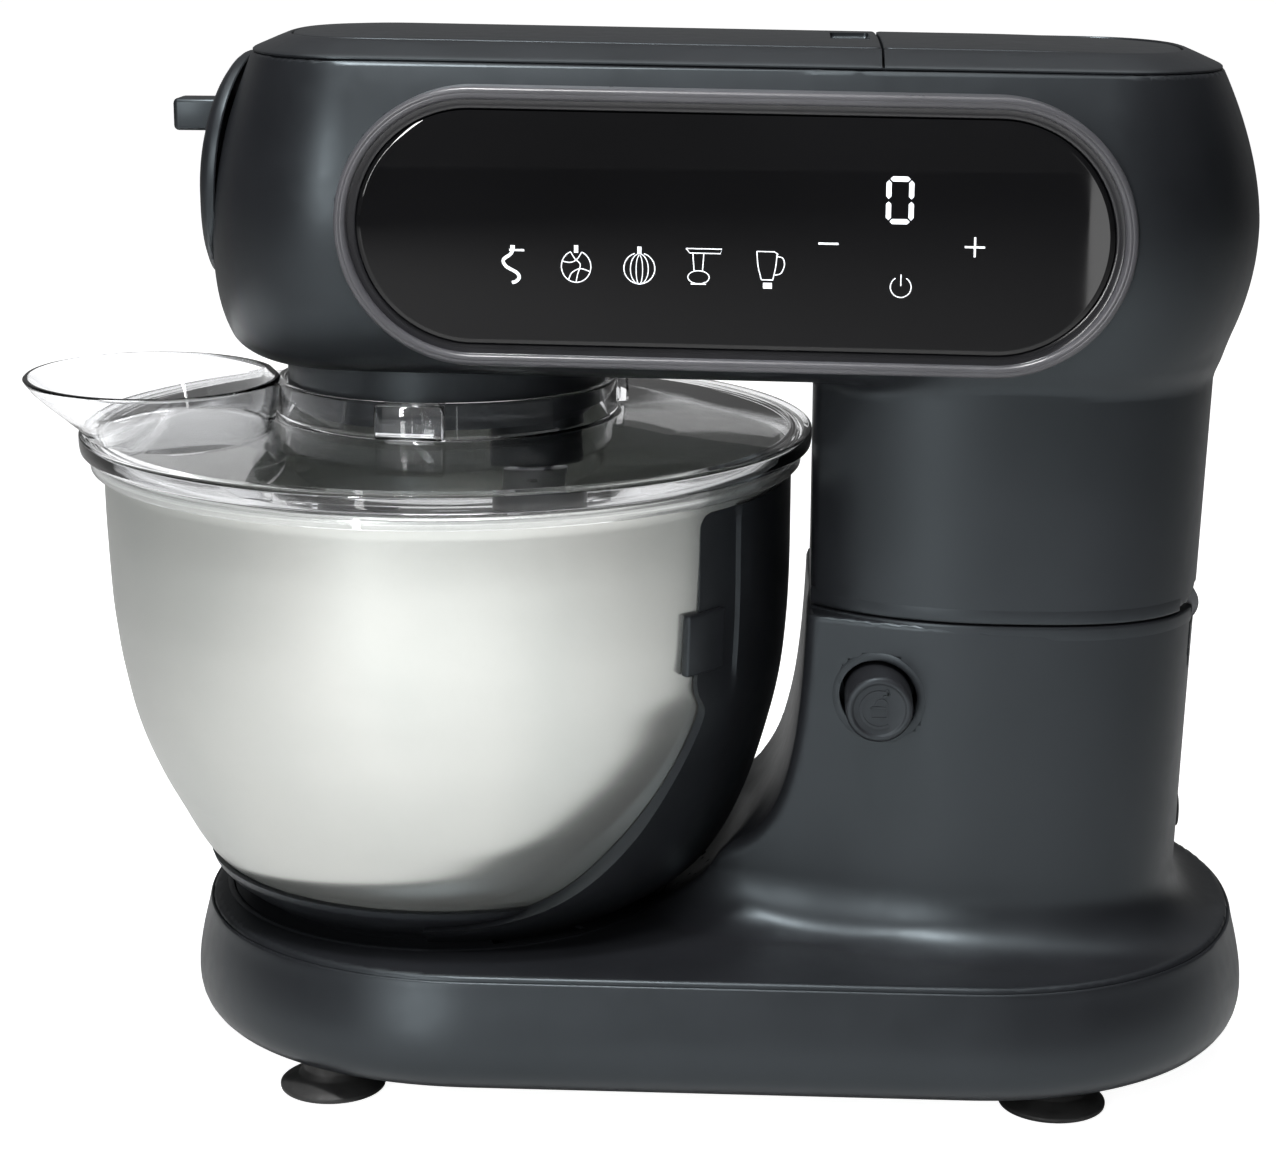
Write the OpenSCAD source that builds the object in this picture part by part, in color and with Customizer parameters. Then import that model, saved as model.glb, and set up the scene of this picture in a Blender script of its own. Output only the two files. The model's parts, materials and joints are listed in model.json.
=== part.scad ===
// Tilt-head stand mixer with a touch panel, a steel bowl, a clear splash lid with a pouring
// chute, a front outlet and a top outlet. Millimetres, +Z up. The nose points to -X, the column
// stands at +X, and the touch panel and the release button face -Y. The origin is the middle of
// the footprint, on the surface that the suction feet stand on.

/* [Bowl] */
// Distance from the origin to the bowl's axis, towards the nose
bowl_x = -65; // [-67:0.5:-63]
// Radius of the steel bowl at its widest
bowl_r = 108.2; // [106:0.1:108.4]
// Height of the bowl's floor above the table
bowl_floor_z = 50; // [50:0.1:50.4]
// Thickness of the bowl's steel
bowl_wall = 1.2; // [0.8:0.1:1.5]
// Number of bayonet lugs under the bowl
lug_count = 3; // [2:1:4]

/* [Base] */
// Half width of the base at its top edge
base_hw = 96; // [92:0.5:98]
// Height of the base's top face
base_top_z = 45; // [44.5:0.1:45]
// Wall thickness of the mouldings
wall = 3; // [2.5:0.1:3.4]

/* [Column and head] */
// Half width of the column
col_hw = 60; // [58:0.5:62]
// Height of the parting line where the head tilts away
seam_z = 148; // [146:0.5:149]
// Half width of the head at its widest
head_hw = 72; // [70:0.5:73]
// Largest opening angle of the head, which sets the relief behind the hinge
tilt_max = 33; // [25:1:34]

/* [Touch panel] */
// Radius of the panel ring's round ends
panel_r = 40.5; // [38:0.5:42]
// Half the distance between the round ends' centres
panel_half = 75.9; // [70:0.1:76]
// Slope of the panel towards the rear, in degrees
panel_tilt = 0.7; // [0:0.1:1]

/* [Hidden] */
$fn = 72;
eps = 0.01;
gap = 0.3;                                  // air between pieces of different bodies
run = 0.05;                                 // radial clearance of a running fit

// Bowl
bowl_top_z = 188;
bowl_steps = 12;
jacket_steps = 11;

// Base
base_front_x = -48;                         // centre of the front end's curve
base_rear_x = 100;                          // centre of the rear end's curve
base_front_a = base_hw;
base_rear_a = base_hw - 6;
base_n = 2.15;
base_bottom_z = 9;
base_flare = 5.5;
bottom_screw_x = [-110, 20, 158];
seat_r = 72;
seat_z = 38;
lug_z = 41.1;
lug_h = 2.3;
lug_turn = 30;                              // from locked to free, in degrees
foot_x = [-94.5, 128.5];
foot_y = 73.7;
foot_r = 16.4;

// Column
col_front_x = 52;
col_n = 2.9;
pivot_x = 166;
pin_r = 3;
lower_top_z = seam_z - 0.3;
upper_bottom_z = seam_z + 0.3;
scoop_gap = 6.3;
scoop_step_z = 8;

// Release button and latch
button_x = 73;
button_z = 123;
button_r = 10.4;
button_face_y = -68;
recess_r = 11.8;
bolt_r = 3;
guide_z = 105;
knuckle_r = 6.5;
knuckle_y = 20;                             // half length of the head's knuckle
knuckle_t = 7;
hinge_hw = knuckle_y + gap + knuckle_t;
plate_bottom_z = 149;
plate_screw_x = [80, 140];

// Head
head_front_x = -85;                         // where the straight sides end
head_rear_x = 135;
head_front_a = 55;
head_rear_a = 54;
head_n = 2.3;
head_top_z = 319.5;
head_floor_z = 221;
floor_in_z = 225;
deck_hw = 47;
deck_front_x = -104;
deck_split_x = 69;
deck_rear_x = 158;
ledge = 5;
cover_top_z = 321.5;
cover_t = 3;

// Hub, gears and shafts
gear_m = 1.5;                               // module of the reduction gears
main_teeth = 60;
pinion_teeth = 16;
planet_m = 1.2;                             // module of the planet gears
ring_teeth = 72;
planet_teeth = 24;
planet_off = planet_m * (ring_teeth - planet_teeth) / 2;
lay_x = bowl_x + gear_m * (main_teeth + pinion_teeth) / 2;
motor_x = 114;
hub_r = 50.5;
hub_in_r = 47.8;
hub_bottom_z = 206;
shaft_r = 7;
lay_r = 5;
rotor_r = 4;
gear_z = 236;
gear_h = 9;
plate_z = 248;
plate_h = 7;
belt_z = 261;
belt_h = 8;
big_pulley_r = 35;
small_pulley_r = 14;
outlet_z = 276;
bevel_teeth = 15;
bevel_r = 9;
bevel_h = 6;
bevel_narrow = 1 - bevel_h / (2 * bevel_r);  // both cones meet where the axes cross
bevel_drop = 0.25;                          // backlash of the bevel pair
cap_x = -136.6;
cap_z = 277.5;
cap_lean = 9;
cap_r = 34;

// Splash lid and chute
lid_r = 116.6;
lid_bottom_z = 191.9;
lid_top_z = 197.5;
lid_t = 2;
collar_r = 54.2;
collar_in_r = 51.2;
collar_top_z = 212.5;
chute_az = 200;                             // the chute's direction from the bowl's axis
chute_u = 98;                               // distance from the axis to the mouth's centre

// Panel
panel_x = 27.4;
panel_z = 266.8;
panel_y = -73.5;

// ---------- shared shapes ----------

function power(v, p) = sign(v) * pow(abs(v), p);

// A long outline with straight sides and superellipse ends
function outline(x0, x1, a0, a1, hw, n, steps = 64) = [for (i = [0:steps - 1])
    let (t = 360 * (i + 0.5) / steps, c = cos(t), s = sin(t))
    [(c > 0 ? x1 : x0) + (c > 0 ? a1 : a0) * power(c, 2 / n), hw * power(s, 2 / n)]];

// The radius of a bowl-like wall at height z: upright above top_z, then curving in
function wall_r(z, r, top_z, depth, n) =
    z >= top_z ? r : r * pow(1 - pow((top_z - z) / depth, n), 1 / n);
function steel_r(z) = wall_r(z, bowl_r, 160, 131, 2.3);
function jacket_r(z) = wall_r(z, 110, 155, 128, 2.5);

module at_bowl() translate([bowl_x, 0, 0]) children();

module ring(r_out, r_in, z, h) translate([0, 0, z]) difference() {
    cylinder(r = r_out, h = h);
    translate([0, 0, -1]) cylinder(r = r_in, h = h + 2);
}

// A screw that points down: its head sits on z
module screw(x, y, z, r, len) translate([x, y, z]) {
    translate([0, 0, -len]) cylinder(r = r, h = len);
    difference() {
        cylinder(r = 1.9 * r, h = 1.2 * r);
        translate([0, 0, 0.5 * r]) cylinder(r = 0.9 * r, h = 2 * r, $fn = 6);
    }
}

// The outline of a spur gear, with slightly thin teeth so that a pair runs free. An internal
// gear is cut with the same outline, made wider and taller than the teeth that run in it.
function gear_points(teeth, m, turn = 0, thin = 0.88, over = 0.8, under = 1.15) =
    let (r = teeth * m / 2, p = 360 / teeth, ro = r + over * m, ri = r - under * m)
    [for (i = [0:teeth - 1]) for (k = [[-0.33, ri], [-0.25, r], [-0.11, ro],
                                       [0.11, ro], [0.25, r], [0.33, ri]])
        let (a = turn + p * (i + thin * k[0])) [k[1] * cos(a), k[1] * sin(a)]];

module gear(teeth, m, h, turn = 0) linear_extrude(h) polygon(gear_points(teeth, m, turn));

// A bevel gear whose cone narrows upwards
module bevel(teeth, r, h, narrow, turn) linear_extrude(h, scale = narrow)
    polygon(gear_points(teeth, 2 * r / teeth, turn, 0.68));

// A coil spring drawn as its outer sleeve, along Y
module spring_sleeve(r, len) rotate([-90, 0, 0]) ring(r, r - 1, 0, len);

// ---------- base and lower column ----------

module base_plan(z, h, out) translate([0, 0, z]) linear_extrude(h) polygon(outline(
    base_front_x, base_rear_x, base_front_a + out, base_rear_a + out, base_hw + out, base_n));
module base_slice(z, out) base_plan(z, 0.1, out);

module base_solid(inset = 0, top = base_top_z, bottom = base_bottom_z) hull() {
    base_slice(bottom, -inset);
    base_slice(bottom + 5, 0.75 * base_flare - inset);
    base_slice(bottom + 12, base_flare - inset);
    base_slice(bottom + 22, 0.85 * base_flare - inset);
    base_slice(top - 1.6, -inset);
    base_slice(top - 0.1, -1.2 - inset);
}

function col_rear(z) = 173 + (z - 88) * 0.03;

module col_slice(z, out) translate([0, 0, z]) linear_extrude(0.1) polygon(outline(
    (col_front_x + col_rear(z)) / 2, (col_front_x + col_rear(z)) / 2,
    (col_rear(z) - col_front_x) / 2 + out, (col_rear(z) - col_front_x) / 2 + out,
    col_hw + out, col_n));

module col_solid(z0, z1, out = 0) hull() {
    col_slice(z0, out);
    col_slice(z1 - 0.1, out);
}

// The soft foot where the column grows out of the base
module col_foot() {
    hull() {
        col_slice(base_top_z - 1, 15);
        col_slice(base_top_z + 5, 8);
    }
    hull() {
        col_slice(base_top_z + 5, 8);
        col_slice(base_top_z + 22, 0);
    }
}

// Everything within reach of the bowl, so that the column's front follows the bowl
module bowl_sweep(extra) at_bowl() rotate_extrude() polygon(concat(
    [[0, base_top_z]],
    [for (z = [base_top_z:scoop_step_z:lower_top_z + 10]) [jacket_r(z) + extra, z]],
    [[jacket_r(170) + extra, lower_top_z + 12], [0, lower_top_z + 12]]));

// The base and the lower column, hollow and open underneath
module base_hollowed() difference() {
    union() {
        base_solid();
        difference() {
            union() {
                col_foot();
                col_solid(base_top_z, lower_top_z);
            }
            bowl_sweep(scoop_gap);
        }
    }
    base_solid(inset = wall, top = base_top_z - wall);
    base_plan(base_bottom_z - 1, 1.05, -wall);
    difference() {
        col_solid(base_top_z - wall - 1, lower_top_z - wall, -wall);
        bowl_sweep(scoop_gap + wall);
    }
}

module base_shell() color([0.07, 0.07, 0.08]) difference() {
    union() {
        base_hollowed();
        at_bowl() translate([0, 0, seat_z - wall]) cylinder(r = seat_r + wall, h = 8);
    }
    // Recess and screw holes for the bowl seat
    at_bowl() translate([0, 0, seat_z]) cylinder(r = seat_r + 0.2, h = 20);
    at_bowl() for (i = [0:2])
        rotate(120 * i + 15) translate([54, 0, 20]) cylinder(r = 2.1, h = 60);
    // Opening for the latch hook in the column's top deck
    translate([button_x - 13, -8, lower_top_z - 2 * wall]) cube([21, 16, 4 * wall]);
    // Opening for the hinge knuckles
    translate([pivot_x - knuckle_r - 0.8, -hinge_hw - 0.4, lower_top_z - 2 * wall])
        cube([knuckle_r + 3, 2 * hinge_hw + 0.8, 4 * wall]);
    along_y(pivot_x, -hinge_hw - 0.4, seam_z, knuckle_r + 0.4, 2 * hinge_hw + 0.8);
    // Recess and bore for the release button
    translate([button_x, -col_hw - 10, button_z]) rotate([-90, 0, 0]) cylinder(r = recess_r, h = 36);
    // Bore for the cord gland
    translate([150, 0, 72]) rotate([0, 90, 0]) cylinder(r = 6.2, h = 40);
}

module bottom_plate() color([0.12, 0.12, 0.13]) difference() {
    base_plan(base_bottom_z, 3, -wall - 0.5);
    for (x = foot_x) for (y = [-foot_y, foot_y])
        translate([x, y, 0]) cylinder(r = 4.2, h = 20);
    for (x = bottom_screw_x) for (y = [-40, 40])
        translate([x, y, 0]) cylinder(r = 2.2, h = 20);
    // Cooling slots under the column
    for (i = [0:7])
        translate([60 + 10 * i, -22, 0]) cube([4, 44, 20]);
}

module bottom_screws() color([0.55, 0.56, 0.58]) for (x = bottom_screw_x) for (y = [-40, 40])
    translate([x, y, base_bottom_z - 0.2]) rotate([180, 0, 0]) screw(0, 0, 0, 2, 9);

module suction_feet() color([0.04, 0.04, 0.04]) for (x = foot_x) for (y = [-foot_y, foot_y])
    translate([x, y, 0]) rotate_extrude() polygon([
        [0, 2.5], [9, 1.8], [13, 0.6], [14.6, 0], [foot_r, 0], [foot_r, 1.4], [15, 2.6],
        [11, 4.4], [9.4, 6], [9.4, 8.9], [4, 8.9], [4, 12.1], [0, 12.1]]);

module foot_screws() color([0.55, 0.56, 0.58]) for (x = foot_x) for (y = [-foot_y, foot_y])
    translate([x, y, 12.2]) difference() {
        cylinder(r = 6, h = 2.4);
        translate([0, 0, 1]) cylinder(r = 2, h = 4, $fn = 6);
    }

module sector(r, a0, a1, z, h) translate([0, 0, z]) linear_extrude(h) polygon(concat(
    [[0, 0]], [for (i = [0:6]) let (a = a0 + (a1 - a0) * i / 6) [r * cos(a), r * sin(a)]]));

module bowl_seat() color([0.1, 0.1, 0.11]) at_bowl() difference() {
    translate([0, 0, seat_z]) cylinder(r = seat_r, h = base_top_z - seat_z);
    translate([0, 0, seat_z + 2.7]) cylinder(r = 64, h = 20);
    translate([0, 0, seat_z - 1]) cylinder(r = 46, h = 20);
    ring(69.2, 60, seat_z + 2.7, 3);
    for (i = [0:lug_count - 1])
        sector(70, 360 * i / lug_count + lug_turn + 17, 360 * i / lug_count + lug_turn + 43,
               seat_z + 2.5, 20);
    for (i = [0:2])
        rotate(120 * i + 15) translate([54, 0, 0]) cylinder(r = 2.1, h = 60);
}

module seat_screws() color([0.55, 0.56, 0.58]) at_bowl() for (i = [0:2])
    rotate(120 * i + 15) translate([54, 0, seat_z]) {
        translate([0, 0, -6]) cylinder(r = 1.9, h = 6 + 0.6);
        translate([0, 0, 0.3]) cylinder(r = 2, h = 2);
    }

module hinge_pin() color([0.7, 0.71, 0.73]) along_y(
    pivot_x, -hinge_hw, seam_z, pin_r, 2 * hinge_hw);

module cord_gland() color([0.05, 0.05, 0.05]) translate([0, 0, 72]) rotate([0, 90, 0]) difference() {
    union() {
        translate([0, 0, 160]) cylinder(r = 6, h = 20);
        translate([0, 0, 173.4]) cylinder(r = 8.5, h = 3);
        translate([0, 0, 163]) cylinder(r = 8, h = 3);
        translate([0, 0, 176.4]) cylinder(r1 = 7, r2 = 5.4, h = 10);
    }
    translate([0, 0, 150]) cylinder(r = 3.4, h = 50);
}

// A cylinder along +Y that starts at y
module along_y(x, y, z, r, len) translate([x, y, z]) rotate([-90, 0, 0]) cylinder(r = r, h = len);

// Two knuckles on a plate carry the pin's ends inside the lower column's rear wall
module hinge_posts() color([0.35, 0.36, 0.38]) difference() {
    union() {
        translate([pivot_x - knuckle_r, -hinge_hw, seam_z - 40]) cube([3.4, 2 * hinge_hw, 28]);
        for (s = [-1, 1]) translate([pivot_x, s * (hinge_hw - knuckle_t / 2), seam_z]) {
            along_y(0, -knuckle_t / 2, 0, knuckle_r, knuckle_t);
            translate([-knuckle_r, -knuckle_t / 2, -40]) cube([knuckle_r + 1, knuckle_t, 40]);
        }
    }
    along_y(pivot_x, -60, seam_z, pin_r, 120);
}

// The bracket that guides the button's end and the latch bolt
module latch_guide() color([0.35, 0.36, 0.38]) difference() {
    union() {
        translate([button_x - 7, -33, guide_z]) cube([14, 75, 3]);
        along_y(button_x, -33, button_z, button_r + 2, 10);
        translate([button_x - 7, -33, guide_z]) cube([14, 10, 8]);
        for (y = [-9, 37]) translate([button_x - 7, y, guide_z]) cube([14, 3, 20]);
    }
    along_y(button_x, -40, button_z, button_r + run, 20);
    along_y(button_x, -20, button_z, bolt_r + gap, 80);
}

module button_spring() color([0.6, 0.6, 0.62]) translate([button_x, -20.4, button_z])
    spring_sleeve(7, 11.2);

module latch_spring() color([0.6, 0.6, 0.62]) translate([button_x, 18, button_z])
    spring_sleeve(5, 18.8);

// ---------- release button and latch ----------

module release_button() color([0.09, 0.09, 0.1]) translate([button_x, button_face_y, button_z])
    rotate([-90, 0, 0]) difference() {
        union() {
            cylinder(r1 = button_r - 1, r2 = button_r, h = 1);
            translate([0, 0, 1]) cylinder(r = button_r, h = 41);
            translate([0, 0, 42]) cylinder(r = 2.5, h = 17.6);
        }
        // A plain arrow pressed into the face
        translate([-0.9, -5, -1]) cube([1.8, 10, 1.5]);
        translate([0, -5.6, -1]) linear_extrude(1.5) polygon([[-4, 4], [4, 4], [0, 0]]);
    }

// The bolt slides under the hook, and its catch stands just clear of the hook's toe
module latch_bolt() color([0.6, 0.61, 0.63]) {
    along_y(button_x, -8, button_z, bolt_r, 48);
    translate([button_x - 5, 8.5, button_z - 5]) cube([10, 3, 14]);
}

// ---------- head and upper column ----------

module head_slice(z, inset, lean) translate([0, 0, z]) linear_extrude(0.1) polygon(outline(
    head_front_x, head_rear_x, head_front_a - inset - lean, head_rear_a - inset, head_hw - inset,
    head_n));

// The head's barrel profile: height, how far the side stands in from the widest line, and how
// much further the nose leans back
head_profile = [[221, 22, 0], [222.5, 14, 0], [227, 9, 0], [235, 4.8, 0], [245, 1.8, 0],
                [256, 0.3, 0.6], [266, 0, 2.4], [278, 1.2, 3.6], [290, 4.3, 3.4],
                [302, 8.6, 2.6], [313.4, 12.5, 2], [319.4, 24, 0]];

module head_solid() hull() for (p = head_profile) head_slice(p[0], p[1], p[2]);

module head_hollow() hull() {
    head_slice(floor_in_z, 14.8, 0);
    head_slice(230, 11, 0);
    head_slice(245, 5.2, 0);
    head_slice(266, 3.4, 2.4);
    head_slice(290, 7.6, 3.4);
    head_slice(head_top_z - 4.5, 18, 0);
}

module stadium(r, half, t) rotate([90, 0, 0]) linear_extrude(t) {
    translate([-half, -r]) square([2 * half, 2 * r]);
    translate([-half, 0]) circle(r = r);
    translate([half, 0]) circle(r = r);
}

module at_panel(y) translate([panel_x, y, panel_z]) rotate([0, panel_tilt, 0]) children();

module deck_hole(x0, x1) translate([x0 + ledge, -deck_hw + ledge, 300])
    cube([x1 - x0 - 2 * ledge, 2 * (deck_hw - ledge), 30]);

module head_shell() color([0.07, 0.07, 0.08]) difference() {
    union() {
        head_solid();
        col_solid(upper_bottom_z, head_floor_z + 12);
    }
    head_hollow();
    col_solid(upper_bottom_z - 1, head_floor_z + 14, -wall);
    // Room for the lid's edge beside the column
    at_bowl() translate([0, 0, upper_bottom_z - 1]) cylinder(r = lid_r + 0.7, h = 60);
    // Relief behind the hinge, so that the rear edge clears the lower column as the head tilts
    translate([0, 100, 0]) rotate([90, 0, 0]) linear_extrude(200) polygon([
        [pivot_x - 1, seam_z - 2], [pivot_x + 30, seam_z - 2],
        [pivot_x + 30, seam_z + 31 * tan(tilt_max + 2)], [pivot_x - 1, seam_z]]);
    // Recess for the covers, and the openings under them
    translate([deck_front_x, -deck_hw, cover_top_z - cover_t - 0.1])
        cube([deck_rear_x - deck_front_x, 2 * deck_hw, 30]);
    deck_hole(deck_front_x, deck_split_x);
    deck_hole(deck_split_x, deck_rear_x);
    along_y(pivot_x, -hinge_hw - 0.4, seam_z, knuckle_r + 0.4, 2 * hinge_hw + 0.8);
    // Hub, panel and front outlet openings
    at_bowl() translate([0, 0, 200]) cylinder(r = hub_r + 0.2, h = 40);
    at_panel(panel_y + 22) stadium(panel_r + 0.1, panel_half, 40);
    translate([-150, 0, outlet_z]) rotate([0, 90, 0]) cylinder(r = 24, h = 60);
    // Air outlet slots in the rear face
    for (i = [0:5])
        translate([150, -20, 232 + 8 * i]) cube([60, 40, 3]);
}

// The plate that closes the upper column and carries the hinge's moving knuckles
module tilt_plate() color([0.3, 0.31, 0.33]) difference() {
    union() {
        intersection() {
            translate([0, 0, plate_bottom_z]) linear_extrude(3) polygon(outline(
                (col_front_x + col_rear(seam_z)) / 2, (col_front_x + col_rear(seam_z)) / 2,
                (col_rear(seam_z) - col_front_x) / 2 - wall - 0.4,
                (col_rear(seam_z) - col_front_x) / 2 - wall - 0.4,
                col_hw - wall - 0.4, col_n));
            translate([58, -80, 100]) cube([pivot_x - knuckle_r - 59, 160, 100]);
        }
        along_y(pivot_x, -knuckle_y, seam_z, knuckle_r, 2 * knuckle_y);
        translate([pivot_x - knuckle_r - 4, -knuckle_y, plate_bottom_z])
            cube([knuckle_r + 4, 2 * knuckle_y, 3]);
    }
    along_y(pivot_x, -60, seam_z, pin_r + run, 120);
    for (x = plate_screw_x) for (y = [-42, 42]) translate([x, y, 140]) cylinder(r = 2.1, h = 30);
    translate([motor_x, 0, 140]) cylinder(r = 14, h = 30);
    for (a = [45:90:315]) translate([motor_x, 0, 140]) rotate(a) translate([38, 0, 0])
        cylinder(r = 2.1, h = 30);
}

module plate_screws() color([0.6, 0.6, 0.62]) for (x = plate_screw_x) for (y = [-42, 42])
    screw(x, y, plate_bottom_z + 3.1, 2, 4);

// The hook hangs from the plate into the lower column, with its toe towards the bolt's catch
module latch_hook() color([0.62, 0.63, 0.65]) {
    translate([button_x - 4, -3, seam_z - 20]) cube([8, 6, plate_bottom_z - seam_z + 20 - eps]);
    translate([button_x - 4, -1, seam_z - 20]) cube([8, 8, 3]);
}

// ---------- drive ----------

module hub_housing() color([0.1, 0.1, 0.11]) at_bowl() {
    difference() {
        union() {
            translate([0, 0, hub_bottom_z]) cylinder(r = hub_r, h = floor_in_z - hub_bottom_z);
            translate([0, 0, floor_in_z]) cylinder(r = 57, h = 4);
            translate([0, 0, floor_in_z + 4]) cylinder(r = 20, h = 5);
            translate([lay_x - bowl_x, 0, floor_in_z]) cylinder(r = 14, h = 6);
            for (i = [0:2]) rotate(120 * i + 25)
                translate([hub_r - 1, -3, 209]) cube([2.4, 6, 1.6]);
        }
        translate([0, 0, hub_bottom_z - 1]) cylinder(r = hub_in_r, h = 17);
        translate([0, 0, hub_bottom_z]) cylinder(r = 16, h = 40);
        translate([lay_x - bowl_x, 0, floor_in_z + 1]) cylinder(r = 9.5, h = 20);
        for (i = [0:3]) rotate(90 * i + 45) translate([54, 0, 200]) cylinder(r = 1.6, h = 60);
    }
}

module ring_gear() color([0.75, 0.73, 0.66]) at_bowl() translate([0, 0, 214]) difference() {
    cylinder(r = hub_in_r, h = 8);
    translate([0, 0, -1]) linear_extrude(10)
        polygon(gear_points(ring_teeth, planet_m, 0, 1.16, 1.15, 0.8));
}

module hub_bearing() color([0.7, 0.71, 0.73]) at_bowl() ring(16, shaft_r + run, 225, 9);

module gearbox_plate() color([0.62, 0.63, 0.65]) difference() {
    union() {
        at_bowl() translate([0, 0, plate_z]) cylinder(r = 30, h = plate_h);
        translate([lay_x, 0, plate_z]) cylinder(r = 22, h = plate_h);
        translate([bowl_x, -22, plate_z]) cube([lay_x - bowl_x, 44, plate_h]);
        for (s = [-1, 1]) translate([bowl_x - 5, s * 52 - 5, plate_z]) cube([10, 10, plate_h]);
        translate([bowl_x - 5, -50, plate_z]) cube([10, 100, plate_h]);
        for (s = [-1, 1]) translate([bowl_x, s * 52, floor_in_z + 4.2])
            cylinder(r = 4.6, h = plate_z - floor_in_z - 4.2);
        // Arm that carries the front outlet's shaft
        translate([bowl_x - 36, -9, plate_z]) cube([12, 18, outlet_z - plate_z + 9]);
    }
    at_bowl() translate([0, 0, plate_z - 1]) cylinder(r = 14, h = plate_h + 2);
    translate([lay_x, 0, plate_z - 1]) cylinder(r = 9.5, h = plate_h + 2);
    translate([bowl_x - 40, 0, outlet_z]) rotate([0, 90, 0]) cylinder(r = 4 + run, h = 30);
}

module plate_bearings() color([0.7, 0.71, 0.73]) {
    at_bowl() ring(14, shaft_r + run, plate_z, plate_h);
    translate([lay_x, 0, 0]) ring(9.5, lay_r + run, plate_z, plate_h);
    translate([lay_x, 0, 0]) ring(9.5, lay_r + run, floor_in_z + 1, 5);
}

module gearbox_screws() color([0.6, 0.6, 0.62]) at_bowl() for (i = [0:3])
    rotate(90 * i + 45) screw(54, 0, floor_in_z + 4.1, 1.5, 3.8);

module motor_stator() color([0.5, 0.3, 0.18]) translate([motor_x, 0, 0]) {
    difference() {
        translate([0, 0, 172]) intersection() {
            cylinder(r = 44, h = 36);
            translate([-38, -44, 0]) cube([76, 88, 36]);
        }
        translate([0, 0, 160]) cylinder(r = 24.6, h = 60);
        for (a = [45:90:315]) rotate(a) translate([38, 0, 160]) cylinder(r = 2.3, h = 60);
    }
    for (s = [-1, 1]) difference() {
        translate([0, 0, 164]) intersection() {
            ring(36, 26, 0, 8);
            translate([-18, s > 0 ? 8 : -38, -1]) cube([36, 30, 20]);
        }
    }
}

module motor_brackets() color([0.62, 0.63, 0.65]) for (z = [156, 214])
    translate([motor_x, 0, z]) difference() {
        union() {
            cylinder(r = 18, h = 7);
            for (a = [45:90:315]) rotate(a) translate([14, -5, 1]) cube([29, 10, 5]);
        }
        translate([0, 0, -1]) cylinder(r = 11, h = 9);
        for (a = [45:90:315]) rotate(a) translate([38, 0, -1]) cylinder(r = 2.3, h = 9);
    }

module motor_bearings() color([0.7, 0.71, 0.73]) translate([motor_x, 0, 0]) {
    ring(11, rotor_r + run, 156, 7);
    ring(11, rotor_r + run, 214, 7);
}

module brush_holders() color([0.75, 0.6, 0.3]) for (s = [-1, 1])
    translate([motor_x + (s > 0 ? 12.5 : -34.5), -4, 165]) cube([22, 8, 6]);

module motor_screws() color([0.6, 0.6, 0.62]) translate([motor_x, 0, 0])
    for (a = [45:90:315]) rotate(a) translate([38, 0, 0]) {
        translate([0, 0, plate_bottom_z]) cylinder(r = 2, h = 74);
        translate([0, 0, 221]) cylinder(r = 4, h = 3);
    }

module belt_side(r1, r2, h) hull() {
    translate([lay_x, 0, 0]) cylinder(r = r1, h = h, $fn = 48);
    translate([motor_x, 0, 0]) cylinder(r = r2, h = h, $fn = 48);
}

module drive_belt() color([0.06, 0.06, 0.06]) translate([0, 0, belt_z]) difference() {
    belt_side(big_pulley_r + 2.4, small_pulley_r + 2.4, belt_h);
    translate([0, 0, -1]) belt_side(big_pulley_r + gap, small_pulley_r + gap, belt_h + 2);
}

module layshaft() color([0.68, 0.69, 0.71]) translate([lay_x, 0, 0]) {
    translate([0, 0, floor_in_z + 1.2]) cylinder(r = lay_r, h = 46);
    translate([0, 0, gear_z]) gear(pinion_teeth, gear_m, gear_h, 180 + 180 / pinion_teeth);
}

module belt_pulley() color([0.3, 0.3, 0.32]) translate([lay_x, 0, 0]) difference() {
    union() {
        translate([0, 0, belt_z - 3]) cylinder(r = big_pulley_r + 4, h = 2);
        translate([0, 0, belt_z - 1]) cylinder(r = big_pulley_r, h = belt_h + 2);
    }
    translate([0, 0, 240]) cylinder(r = lay_r, h = 60);
    for (i = [0:4]) rotate(72 * i) translate([20, 0, 240]) cylinder(r = 8, h = 60);
}

module motor_armature() color([0.45, 0.42, 0.4]) translate([motor_x, 0, 0]) {
    translate([0, 0, 154]) cylinder(r = rotor_r, h = 138);
    translate([0, 0, 172]) cylinder(r = 24, h = 36);
    translate([0, 0, 163.4]) cylinder(r = 12, h = 8.4);
}

module motor_fan() color([0.15, 0.15, 0.16]) translate([motor_x, 0, 0]) difference() {
    union() {
        translate([0, 0, 228]) cylinder(r = 34, h = 2);
        translate([0, 0, 228]) cylinder(r = 9, h = 12);
        for (i = [0:10]) rotate(360 * i / 11) translate([8, -1, 228]) cube([25, 2, 11]);
    }
    translate([0, 0, 220]) cylinder(r = rotor_r, h = 40);
}

module motor_pulley() color([0.68, 0.69, 0.71]) translate([motor_x, 0, 0]) difference() {
    union() {
        translate([0, 0, belt_z - 3]) cylinder(r = small_pulley_r + 4, h = 2);
        translate([0, 0, belt_z - 1]) cylinder(r = small_pulley_r, h = belt_h + 2);
    }
    translate([0, 0, 250]) cylinder(r = rotor_r, h = 40);
}

module blender_coupling() color([0.2, 0.2, 0.21]) translate([motor_x, 0, 292]) {
    difference() {
        cylinder(r = 17, h = 12);
        translate([0, 0, 3]) linear_extrude(20) polygon(gear_points(8, 2.6, 0, 1));
    }
}

module main_shaft() color([0.68, 0.69, 0.71]) at_bowl() translate([0, 0, 203])
    cylinder(r = shaft_r, h = 63);

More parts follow.
